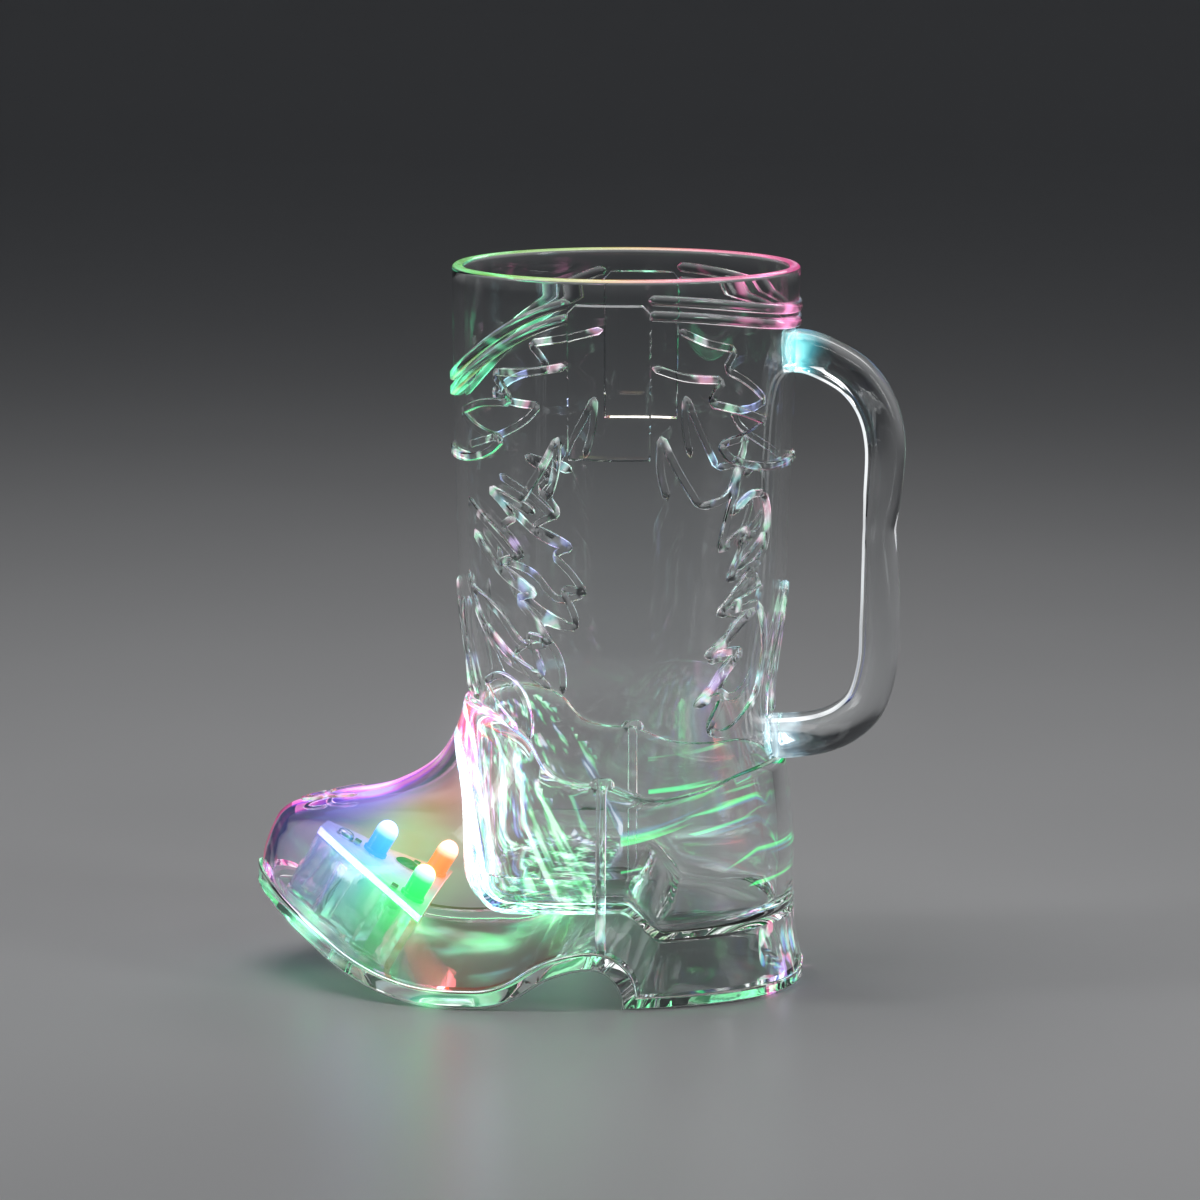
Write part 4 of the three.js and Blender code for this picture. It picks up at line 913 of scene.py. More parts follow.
def vessel_form(name, inside, grow, materials):
    """The space for the drink: walls, rounded foot and stepped floor; grown, it shapes the room below."""
    columns = 180
    turns = np.linspace(0, 2 * math.pi, columns, endpoint=False)
    way = np.stack([np.cos(turns), np.sin(turns)], -1)
    drop = FLOOR_WALL if grow else 0
    foot = 5.0 + (1.5 if grow else 0)
    flare = bpy.context.scene.cup_relief.rim_round / MM
    heights = np.concatenate([[CUP_HEIGHT + 5], np.linspace(CUP_HEIGHT, CUP_HEIGHT - flare, 6),
                              np.linspace(CUP_HEIGHT - 4, 70, 30), np.linspace(67, 30, 20)])
    rings = []
    for height in heights:
        radii = vessel_radii(inside, height, turns, grow)
        edge = np.clip((height - CUP_HEIGHT + flare) / flare, 0, 1)
        radii = radii + flare * (1 - math.sqrt(max(1 - edge ** 2, 0)))
        rings.append(np.column_stack([way * radii[:, None], np.full(columns, height)]))
    base = vessel_radii(inside, 27, turns, grow)
    low = vessel_radii(inside, 20, turns, grow)
    level = vessel_floor(base * way[:, 0])
    wall = low + (base - low) * (level - VESSEL_FLOOR) / VESSEL_STEP
    for share in np.linspace(0.85, 0.15, 5):
        radii = base * share + wall * (1 - share)
        z = np.minimum(30, (level - drop + foot) * (1 - share) + 30 * share)
        rings.append(np.column_stack([way * radii[:, None], z]))
    for turn in np.linspace(0, math.pi / 2, 8):
        radii = wall - foot * (1 - math.cos(turn))
        z = vessel_floor(radii * way[:, 0]) - drop + foot * (1 - math.sin(turn))
        rings.append(np.column_stack([way * radii[:, None], z]))
    for share in np.linspace(1, 0, 27)[1:-1]:
        radii = (wall - foot) * share
        rings.append(np.column_stack([way * radii[:, None], vessel_floor(radii * way[:, 0]) - drop]))

    def picks(middles):
        x, _, z = middles.T
        # The rim, the arcs and the fan get materials with painted glow: rim light, green arcs and the partition's
        # streaks.
        rim = (z > CUP_HEIGHT - flare * 0.4) & (z < CUP_HEIGHT + 1)
        arcs = (x > 2) & (z > 25) & (z < 50)
        chosen = np.where(rim, 1, np.where(arcs, 4, 0))
        fan = (x < -4) & (z < 62) & (z < 62 - 1.4 * (x + 24))
        return np.where(fan, 2, chosen)

    return ring_stack(name, rings, materials, picks)


class Surface:
    """The boot's outside, to lay raised work on."""

    def __init__(self, piece):
        mesh = bmesh.new()
        mesh.from_mesh(piece.data)
        self.tree = BVHTree.FromBMesh(mesh)
        mesh.free()

    def cast(self, origin, way):
        start = Vector((origin[0] + SHAFT_X, origin[1], origin[2])) * MM
        point, normal, _, _ = self.tree.ray_cast(start, Vector(way).normalized())
        if point is None:
            raise RuntimeError(f"no surface at {origin}")
        place = np.array(point) / MM - (SHAFT_X, 0, 0)
        normal = np.array(normal)
        return place, normal if np.dot(normal, way) > 0 else -normal

    def on_shaft(self, degrees, height, side):
        """Point and normal at some degrees round from the middle of one side."""
        turn = math.radians(degrees)
        return self.cast((0, 0, height), (math.sin(turn), side * math.cos(turn), 0))

    def from_above(self, x, y):
        point, normal = self.cast((x, y, 90), (0, 0, -1))
        return point, normal if normal[2] > 0 else -normal


def bead(name, laid, width, height, materials):
    """A raised line with round ends along points and normals on the surface, half sunk in it."""
    points = np.array([p for p, _ in laid])
    normals = np.array([n for _, n in laid])
    for _ in range(3):
        normals[1:-1] = normals[:-2] + 2 * normals[1:-1] + normals[2:]
        normals /= np.linalg.norm(normals, axis=1, keepdims=True)
    along = np.gradient(points, axis=0)
    along /= np.maximum(np.linalg.norm(along, axis=1, keepdims=True), 1e-9)
    across = np.cross(along, normals)
    across /= np.maximum(np.linalg.norm(across, axis=1, keepdims=True), 1e-9)
    run = np.concatenate([[0], np.cumsum(np.linalg.norm(np.diff(points, axis=0), axis=1))])
    near = np.minimum(run, run[-1] - run) / (width / 2)
    scale = np.sqrt(np.clip(1 - (1 - np.clip(near, 0.02, 1)) ** 2, 0.0004, 1))
    half = [(0.34, 1), (0.42, 0.84), (0.5, 0.25), (0.5, -0.9)]
    outline = np.array([*half[::-1], *[(-a, b) for a, b in half]])
    side, rise = outline[:, 0] * width, outline[:, 1] * height
    rings = [p + s * (np.outer(side, a) + np.outer(rise, n))
             for p, n, a, s in zip(points, normals, across, scale)]
    return ring_stack(name, rings, materials)


def stitch_runs(corners):
    """Splits one run of stitches at its sharp corners, with both parts sharing the corner."""
    flat = np.array([(math.radians(a) * 38, z) for a, z in corners])
    steps = np.diff(flat, axis=0)
    steps /= np.linalg.norm(steps, axis=1, keepdims=True)
    cuts = [i + 1 for i in range(len(steps) - 1) if np.dot(steps[i], steps[i + 1]) < 0.35]
    edges = [0, *cuts, len(corners) - 1]
    return [corners[a:b + 1] for a, b in zip(edges, edges[1:])]


def stitch_beads(surface, materials):
    relief = bpy.context.scene.cup_relief
    width, height = relief.bead_width / MM, relief.bead_height / MM
    beads = []
    for side in (-1, 1):
        for corners in [*BACK_STITCHES, *FRONT_STITCHES, *RIDGES]:
            for part in stitch_runs(corners):
                length = sum(math.hypot(math.radians(b[0] - a[0]) * 38, b[1] - a[1])
                             for a, b in zip(part, part[1:]))
                bowed = part
                if len(part) == 2:
                    (a0, z0), (a1, z1) = part
                    bowed = [part[0], ((a0 + a1) / 2 + (z0 - z1) * 0.05, (z0 + z1) / 2 + 0.35), part[1]]
                line = line_through([(a, z, 0) for a, z in bowed], max(int(length / 1.1), 8))
                laid = [surface.on_shaft(a, z, side) for a, z, _ in line]
                beads.append(bead("stitches", laid, width, height, materials))
    return beads


def collar_beads(surface, materials):
    """Two cords along the scalloped top, broken at the pull straps."""
    beads = []
    gap = math.degrees(STRAP_WIDTH / 2 / RIM_RADIUS) - 1
    for drop in (1.2, 4.6):
        for start, end in ((gap, 180 - gap), (-gap, gap - 180)):
            laid = []
            for degrees in np.linspace(start, end, 110):
                x = RIM_RADIUS * math.sin(math.radians(degrees))
                laid.append(surface.on_shaft(degrees, float(collar_height(x)) - drop, -1))
            beads.append(bead("collar", laid, 2.4, 0.8, materials))
    return beads


def strap(surface, side, materials):
    """A pull strap: a slab with bevelled edges and cut top corners, laid on the shaft."""
    top = CUP_HEIGHT - STRAP_DROP
    foot = top - STRAP_LENGTH
    edge = 0.45
    levels = [foot, foot + edge, *np.linspace(foot + 2, top - 2, 22), top - edge, top]
    rings = []
    for z in levels:
        half = STRAP_WIDTH / 2 - max(0, z - (top - STRAP_CORNER))
        high = LAYER if foot < z < top else LAYER - edge
        places = [-half, *np.linspace(-half + edge, half - edge, 14), half]
        outs = [high - edge, *[high] * 14, high - edge]
        ring = []
        for place, out in [*zip(places, outs), *[(p, -0.9) for p in places[::-1]]]:
            point, normal = surface.on_shaft(math.degrees(place / RIM_RADIUS), z, side)
            ring.append(point + normal * out)
        rings.append(ring if side < 0 else ring[::-1])
    return ring_stack("strap", rings[::-1], materials)


def foot_beads(surface, materials):
    """The side seams with their tabs, and the stitched loops on top of the toe."""
    beads = []
    for side in (-1, 1):
        seam = [surface.cast((SEAM_PLACE, 0, z), (0, side, 0)) for z in np.linspace(52.5, 3, 40)]
        beads.append(bead("side_seam", seam, 2.4, 0.75, materials))
        tab = [surface.cast((x, 0, 51.5), (0, side, 0)) for x in np.linspace(-4.4, 1.4, 10)]
        beads.append(bead("side_seam", tab, 3.2, 0.8, materials))
        for back, half, reach in ((-70, 3.0, 5.5), (-62, 5.5, 8.0)):
            turns = np.linspace(-math.pi / 2, math.pi / 2, 24)
            loop = [surface.from_above(back - reach * math.cos(t), half * math.sin(t)) for t in turns]
            if side < 0:
                beads.append(bead("toe_loop", loop, 1.6, 0.6, materials))
    return beads


class CUP_OT_body(Operator):
    """Builds the clear boot with its vessel, hollow foot and raised work"""
    bl_idname = "cup.body"
    bl_label = "Boot body"

    def execute(self, context):
        # Painted light: the shell, rim, partition, instep, arcs, heel, stitches and collar carry emission that stands
        # in for the lamps' glints and spill.
        glint = context.scene.cup_lamps.glint
        clear = clear_plastic("clear_shell", context.scene.cup_lamps.spill * 0.75)
        rim = rim_plastic()
        partition = partition_plastic(glint * 1.3)
        stitches = glint_painted_plastic("lit_stitches", glint * 0.7, Stretch=(1, 1, 0.7), Scale=130.0, Cover=0.3,
                               Softness=0.1, Paleness=0.4)
        paint_spill_on(clear, 0.026, -5.0)
        arcs = glint_painted_plastic("lit_arcs", glint * 1.1, rising_lay, Stretch=(0.1, 0.1, 2.4), Scale=170.0, Cover=0.3,
                           Softness=0.1, Paleness=0.0, Tint=(0.08, 1, 0.28, 1))
        heel = glint_painted_plastic("lit_heel", glint * 0.8, Stretch=(1, 1, 0.6), Scale=190.0, Cover=0.3, Softness=0.08,
                           Paleness=0.15)
        finishes_and_painted_glows = [clear, rim, partition, instep_plastic(), arcs, heel]
        body = outer_form(finishes_and_painted_glows)
        surface = Surface(body)
        raised = [*stitch_beads(surface, [stitches]), *collar_beads(surface, [collar_plastic()])]
        raised += [strap(surface, side, [clear]) for side in (-1, 1)]
        raised += foot_beads(surface, [stitches])
        inner = boot_form("inner_form", -WALL, 120, 180, [clear])
        walls = Surface(inner).tree
        vessel = vessel_form("vessel", walls, 0, finishes_and_painted_glows)
        room = shaped(inner, [vessel_form("vessel_grown", walls, PARTITION, finishes_and_painted_glows)], "DIFFERENCE")
        line = base_line(SOLE_EDGE + SEAM_GAP)
        below = prism("below", [*line, (FAR, -FAR), (-2 * FAR, -FAR)], -FAR, FAR, "y", [clear])
        shaped(body, [merged(raised)], "UNION")
        shaped(body, [vessel, room, below], "DIFFERENCE")
        smooth(body, 40)
        dress(body, "cup", "clear_shell", "boot_body")
        return {"FINISHED"}


# Handle

def handle_rings(steps, sides):
    outer = HANDLE_REACH - 0.15 - HANDLE_DEPTH / 2
    drop = HANDLE_TOP - HANDLE_BOTTOM
    stations = [
        (RIM_RADIUS - 6, HANDLE_TOP, 9.6, 16.5), (RIM_RADIUS + 1, HANDLE_TOP, 9.6, 15.7),
        (outer - 13, HANDLE_TOP - 2, 9.6, 14), (outer - 6.6, HANDLE_TOP - 6, 9.6, 14),
        (outer - 2.2, HANDLE_TOP - 12, 9.6, 14), (outer, HANDLE_TOP - 20, 9.6, 14),
        (outer - 0.4, HANDLE_TOP - drop * 0.37, 8.9, 14), (outer - 0.9, HANDLE_TOP - drop * 0.45, 7.8, 14),
        (outer - 0.7, HANDLE_TOP - drop * 0.55, 8.7, 14), (outer - 0.6, HANDLE_BOTTOM + 27, 9.6, 14),
        (outer - 1.1, HANDLE_BOTTOM + 17, 9.6, 14), (outer - 3.8, HANDLE_BOTTOM + 8, 9.6, 14),
        (outer - 8.2, HANDLE_BOTTOM + 3.6, 9.6, 14), (outer - 13.5, HANDLE_BOTTOM + 1.2, 9.6, 14),
        (ANKLE_BACK + 4, HANDLE_BOTTOM, 9.6, 16.1), (ANKLE_BACK - 6, HANDLE_BOTTOM, 9.6, 18.2),
    ]
    middle = line_through([(x, 0, z) for x, z, _, _ in stations], steps)
    places = np.linspace(0, len(stations) - 1, steps)
    depths = np.interp(places, range(len(stations)), [s[2] for s in stations])
    widths = np.interp(places, range(len(stations)), [s[3] for s in stations])
    along = np.gradient(middle, axis=0)
    along /= np.linalg.norm(along, axis=1, keepdims=True)
    turns = np.linspace(0, 2 * math.pi, sides, endpoint=False)
    c, s = np.cos(turns), np.sin(turns)
    full = 2 / 3.6
    out = np.sign(c) * np.abs(c) ** full / 2
    wide = np.sign(s) * np.abs(s) ** full / 2 * (1 - 0.34 * ease((0.06 - out) / 0.44))
    rings = []
    for point, way, depth, width in zip(middle, along, depths, widths):
        across = np.array([-way[2], 0, way[0]])
        rings.append(point + np.outer(out * depth, across) + np.outer(wide * width, (0, 1, 0)))
    return rings


class CUP_OT_handle(Operator):
    """Builds the clear handle, waisted in the middle and flared where it joins the shaft"""
    bl_idname = "cup.handle"
    bl_label = "Handle"

    def execute(self, context):
        # Painted glow near the roots: emission, cyan at the upper root and white at the lower, standing in for lamp
        # light.
        material = clear_plastic("clear_handle", 0.7)
        tree = material.node_tree
        place = add(tree, "ShaderNodeTexCoord").outputs["Object"]
        split = add(tree, "ShaderNodeSeparateXYZ", {"Vector": place})
        root = (SHAFT_X + RIM_RADIUS) * MM
        near = add(tree, "ShaderNodeMapRange", {"Value": split.outputs["X"], "From Min": root + 0.005,
                                                "From Max": root - 0.001}, interpolation_type="SMOOTHSTEP")
        streaks = add(tree, "ShaderNodeTexNoise", {"Vector": place, "Scale": 160.0, "Detail": 2.0})
        glow = add(tree, "ShaderNodeMath", {0: near.outputs[0], 1: streaks.outputs["Fac"]}, operation="MULTIPLY")
        upper = ramp(tree, glow.outputs[0], [(0.0, (0, 0, 0)), (0.3, (0.02, 0.25, 0.3)),
                                             (0.55, (0.3, 0.95, 0.95)), (0.7, (0.9, 1, 1))])
        lower = ramp(tree, glow.outputs[0], [(0.3, (0, 0, 0)), (0.5, (0.1, 0.16, 0.2)), (0.72, (0.7, 0.9, 0.95))])
        high = add(tree, "ShaderNodeMapRange", {"Value": split.outputs["Z"], "From Min": 0.09, "From Max": 0.11})
        glow_colour = add(tree, "ShaderNodeMix", {0: high.outputs[0], 6: lower.outputs["Color"],
                                           7: upper.outputs["Color"]}, data_type="RGBA")
        feed(material, Emission_Color=glow_colour.outputs[2])
        # A painted white highlight on the inner face and a painted blue glow along the outer edge, both emission.
        inside = glint_painted_plastic("lit_grip_inside", 0.9, Stretch=(1, 1, 0.25), Scale=60.0, Cover=0.56,
                             Softness=0.3, Paleness=0.97)
        outside = glint_painted_plastic("lit_grip_outside", 0.4, Stretch=(1, 1, 0.3), Scale=70.0, Cover=0.34,
                              Softness=0.2, Paleness=0.2, Tint=(0.2, 0.45, 1, 1))
        rows, sides = 150, 44
        turn = np.tile((np.arange(sides) + 0.5) * 2 * math.pi / sides, rows - 1)
        # The inner-face band takes the painted highlight, the outer edge the painted glow.
        picks = np.where((np.cos(turn) < -0.7) & (np.cos(turn) > -0.93), 1, np.where(np.cos(turn) > 0.93, 2, 0))
        picks = np.concatenate([picks, np.zeros(2 * sides)])
        handle = ring_stack("cup_handle", handle_rings(rows, sides), [material, inside, outside], picks)
        cut = boot_form("shaft_cut", 0.02, 110, 160, [material])
        shaped(handle, [cut], "DIFFERENCE")
        smooth(handle, 50)
        dress(handle, "cup", "clear_handle", "handle")
        return {"FINISHED"}


def sole_half_width(x, inset):
    """Half width of the welted sole at a place along it."""
    centre, front, back, half = -34, TOE_REACH + WELT - inset, 41.5, 41.5 + WELT - inset
    ahead = x < centre
    share = np.where(ahead, (centre - x) / (front + centre), (x - centre) / (back - centre))
    full = np.where(ahead, 1.6, 2.5)
    return half * np.maximum(1 - np.clip(share, 0, 1) ** full, 0) ** (1 / full)


def plate_section(low, high, half_low, half_high, edge):
    """Closed loop round a slab's cross section, with rounded edges; low and high are (x, z)."""
    low, high = np.array(low, float), np.array(high, float)
    thick = np.linalg.norm(high - low)
    up = (high - low) / thick
    loop = []
    for side, under in ((-1, 0), (1, 0), (1, 1), (-1, 1)):
        half = half_low if under else half_high
        radius = min(edge, half * 0.45, thick * 0.45)
        turns = np.linspace(0, math.pi / 2, 5)
        if (side > 0) == bool(under):
            turns = turns[::-1]
        quarter = []
        for turn in turns:
            rise = radius * (1 - math.cos(turn))
            x, z = low + up * rise if under else high - up * rise
            quarter.append((x, side * (half - radius + radius * math.sin(turn)), z))
        loop += quarter if side > 0 else quarter[::-1]
    return loop


def heel_half_width(surface, x, z):
    return abs(surface.cast((x, 0, z), (0, 1, 0))[0][1])


def plate_rings(surface):
    """Sections of the base plate from the toe's tip to the back of the heel."""
    def level(up, x):
        line = np.array(sole_line(up))
        return np.interp(x, line[:, 0], line[:, 1])

    tip = -(TOE_REACH + WELT)
    run = -ARCH_END - tip
    rings = []
    for turn in np.linspace(0.03, math.pi / 2, 84):
        x = tip + run * (1 - math.cos(turn))
        heel = float(ease((x + ARCH_END + 7) / 7))
        half = float(sole_half_width(np.array(x), 0))
        if heel > 0:
            half = half * (1 - heel) + heel_half_width(surface, x, 11) * heel
        rings.append(plate_section((x, level(0, x)), (x, level(SOLE_EDGE, x)), half, half, 0.7))
    low, high = base_line(0)[-20:-1], base_line(SOLE_EDGE)[-20:-1]
    for under, over in zip(low[1:], high[1:]):
        halves = [heel_half_width(surface, px, max(pz, 0.3)) for px, pz in (under, over)]
        rings.append(plate_section(under, over, *halves, 0.5))
    back = surface.cast((0, 0, 1.3), (1, 0, 0))[0][0]
    starts = (low[-1][0], high[-1][0])
    for share in np.sin(np.linspace(0.02, math.pi / 2, 80)):
        ends = [min(start + (back - start) * share, back - 0.04) for start in starts]
        halves = [heel_half_width(surface, x, 1.3) for x in ends]
        rings.append(plate_section((ends[0], 0), (ends[1], HEEL_CAP), *halves, 0.5))
    return rings


def plate_recess():
    """The pocket over the plate's floor, inside its rim."""
    def level(up, x):
        line = np.array(sole_line(up))
        return np.interp(x, line[:, 0], line[:, 1])

    inset = WELT + WALL + LAYER
    tip = -(TOE_REACH + WELT) + inset
    end = -ARCH_END - inset
    rings = []
    for turn in np.linspace(0.05, math.pi / 2, 50):
        x = tip + (end - tip) * (1 - math.cos(turn))
        half = float(sole_half_width(np.array(x), inset))
        rings.append(plate_section((x, level(SOLE_FLOOR, x)), (x, level(SOLE_EDGE, x) + 8), half, half, 0.8))
    return rings


class CUP_OT_base(Operator):
    """Builds the clear plate from the toe to the heel that closes the bottom"""
    bl_idname = "cup.base"
    bl_label = "Base plate"

    def execute(self, context):
        glint = context.scene.cup_lamps.glint
        # Painted glints of emission: green along the front of the plate, coloured on the heel cap.
        material = glint_painted_plastic("clear_base", glint * 0.6, Stretch=(0.35, 0.35, 0.8), Scale=110.0, Cover=0.36,
                               Softness=0.16, Paleness=0.4, Tint=(0.35, 1, 0.55, 1))
        heel = glint_painted_plastic("clear_heel_cap", glint * 0.7, Stretch=(1, 1, 0.7), Scale=180.0, Cover=0.27,
                           Softness=0.07, Paleness=0.1)
        form = boot_form("heel_form", LAYER, 140, 200)
        surface = Surface(form)
        bpy.data.objects.remove(form)
        arch = clear_plastic("clear_arch")
        plate = ring_stack("sole_plate", plate_rings(surface), [material, arch, heel],
                           lambda middles: (middles[:, 0] > -12).astype(int) + (middles[:, 0] > 32))
        shaped(plate, [ring_stack("recess", plate_recess(), [material])], "DIFFERENCE")
        place = module_frame()
        top = BOARD_RISE - FIT_GAP
        posts = [turned("post", [(0, -0.8), (2.9, -0.8), (2.4, 1.2), (2.2, 2.4), (2.2, top - 0.3), (1.9, top), (0, top)],
                        28, (x, 0, 0), place, [material]) for x in POSTS]
        posts.append(turned("boss", [(0, -0.8), (2.6, -0.8), (2.35, 0.6), (2.35, 5.3), (2.15, 5.5), (0, 5.5)],
                            28, (BAY_X, DOOR_SCREW_Y, 0), place, [material]))
        shaped(plate, posts, "UNION")
        cuts = [turned("pilot", [(0, top - 7), (1.3, top - 7), (1.3, top + 1), (0, top + 1)], 24, (x, 0, 0), place,
                       [material]) for x in POSTS]
        cuts.append(prism("bay", bay_outline(0), -15, 1, "z", [material], place))
        cuts.append(prism("seat", door_outline(FIT_GAP), -15, DOOR_SEAT + FIT_GAP, "z", [material], place))
        cuts.append(turned("door_hole", [(0, -15), (1.15, -15), (1.15, 6.5), (0, 6.5)], 24,
                           (BAY_X, DOOR_SCREW_Y, 0), place, [material]))
        cuts.append(turned("button_hole", [(0, -15), (3.1, -15), (3.1, 0), (3.9, 0), (3.9, 4.2), (0, 4.2)], 32,
                           BUTTON_PLACE, place, [material]))
        shaped(plate, cuts, "DIFFERENCE")
        smooth(plate, 40)
        dress(plate, "cup", "clear_base", "base_plate")
        return {"FINISHED"}


# Lamps and fittings

class CUP_OT_lamps(Operator):
    """Builds the three lit lamps with their legs"""
    bl_idname = "cup.lamps"
    bl_label = "Lamps"

    def execute(self, context):
        settings = context.scene.cup_lamps
        place = module_frame()
        legs = plated_metal("lamp_leg", (0.72, 0.7, 0.66), (0.5, 0.48, 0.45), (1, 1, 0.1), 0.25)
        for name, x, y in LAMPS:
            colour = getattr(settings, name)
            material = new_material(f"lamp_{name}", Base_Color=colour, Emission_Strength=settings.strength)
            finish = group_in(material, "moulded_finish", Roughness=0.05, Roughness_drift=0.12,
                              Ripple_scale=500.0, Ripple_depth=0.03)
            feed(material, Roughness=finish.outputs["Roughness"], Normal=finish.outputs["Normal"])
            self.glow(material, name, colour, place @ (Vector((x, y, BOARD_TOP)) * MM))
            seat = BOARD_TOP + 0.4
            shoulder = seat + 8.6 - 2.5
            dome = [(2.5 * math.cos(a), shoulder + 2.5 * math.sin(a)) for a in np.linspace(0, math.pi / 2, 14)]
            profile = [(0, seat), (2.75, seat), (2.9, seat + 0.15), (2.9, seat + 0.85), (2.75, seat + 1),
                       (2.55, seat + 1.05), (2.5, seat + 1.2), *dome]
            lens = turned(f"lamp_{name}_dome", profile, 40, (x, y, 0), place, [material])
            pins = []
            for side in (-1, 1):
                middle = y + side * 1.27
                corners = [(x - 0.25, middle - 0.25), (x + 0.25, middle - 0.25), (x + 0.25, middle + 0.25),
                           (x - 0.25, middle + 0.25)]
                pins.append(prism("leg", corners, BOARD_RISE - 1.2, seat + 0.5, "z", [legs], place))
            shaped(lens, pins, "UNION")
            smooth(lens, 40)
            dress(lens, "cup", f"lamp_{name}", f"led_{name}")
        return {"FINISHED"}

    def glow(self, material, name, colour, foot):
        """Brightest near the chip in the foot of the dome, fuller in colour towards its sides."""
        tree = material.node_tree
        place = add(tree, "ShaderNodeTexCoord").outputs["Object"]
        away = add(tree, "ShaderNodeVectorMath", {0: place, 1: foot}, operation="DISTANCE")
        share = add(tree, "ShaderNodeMapRange", {"Value": away.outputs["Value"], "From Min": 0.001,
                                                 "From Max": 0.0095})
        full = tuple(colour)[:3]
        pale = tuple(0.25 + 0.75 * c for c in full)
        glow_colour = ramp(tree, share.outputs[0], [(0.15, tuple(0.12 * c for c in full)),
                                             (0.6, tuple(0.25 * c for c in full)), (0.95, pale)])
        feed(material, Emission_Color=glow_colour.outputs["Color"])


def softened(node, name, width, materials, picks=None, segments=2):
    """A copy of a plain solid with its edges rounded off."""
    mesh = bmesh.new()
    mesh.from_mesh(bpy.data.objects[node].data)
    bmesh.ops.remove_doubles(mesh, verts=mesh.verts, dist=2e-6)
    bmesh.ops.dissolve_limit(mesh, angle_limit=math.radians(1), verts=mesh.verts, edges=mesh.edges)
    sharp = [e for e in mesh.edges if e.is_manifold and e.calc_face_angle() > math.radians(28)]
    bmesh.ops.bevel(mesh, geom=sharp, offset=width * MM, segments=segments, profile=0.5, affect="EDGES",
                    clamp_overlap=True)
    data = bpy.data.meshes.new(name)
    if picks is not None:
        back = module_frame().inverted()
        for face in mesh.faces:
            face.material_index = picks(back @ face.calc_center_median() / MM, back.to_3x3() @ face.normal)
    else:
        for face in mesh.faces:
            face.material_index = 0
    mesh.to_mesh(data)
    mesh.free()
    for material in materials:
        data.materials.append(material)
    piece = bpy.data.objects.new(name, data)
    bpy.context.scene.collection.objects.link(piece)
    return smooth(piece, 40)


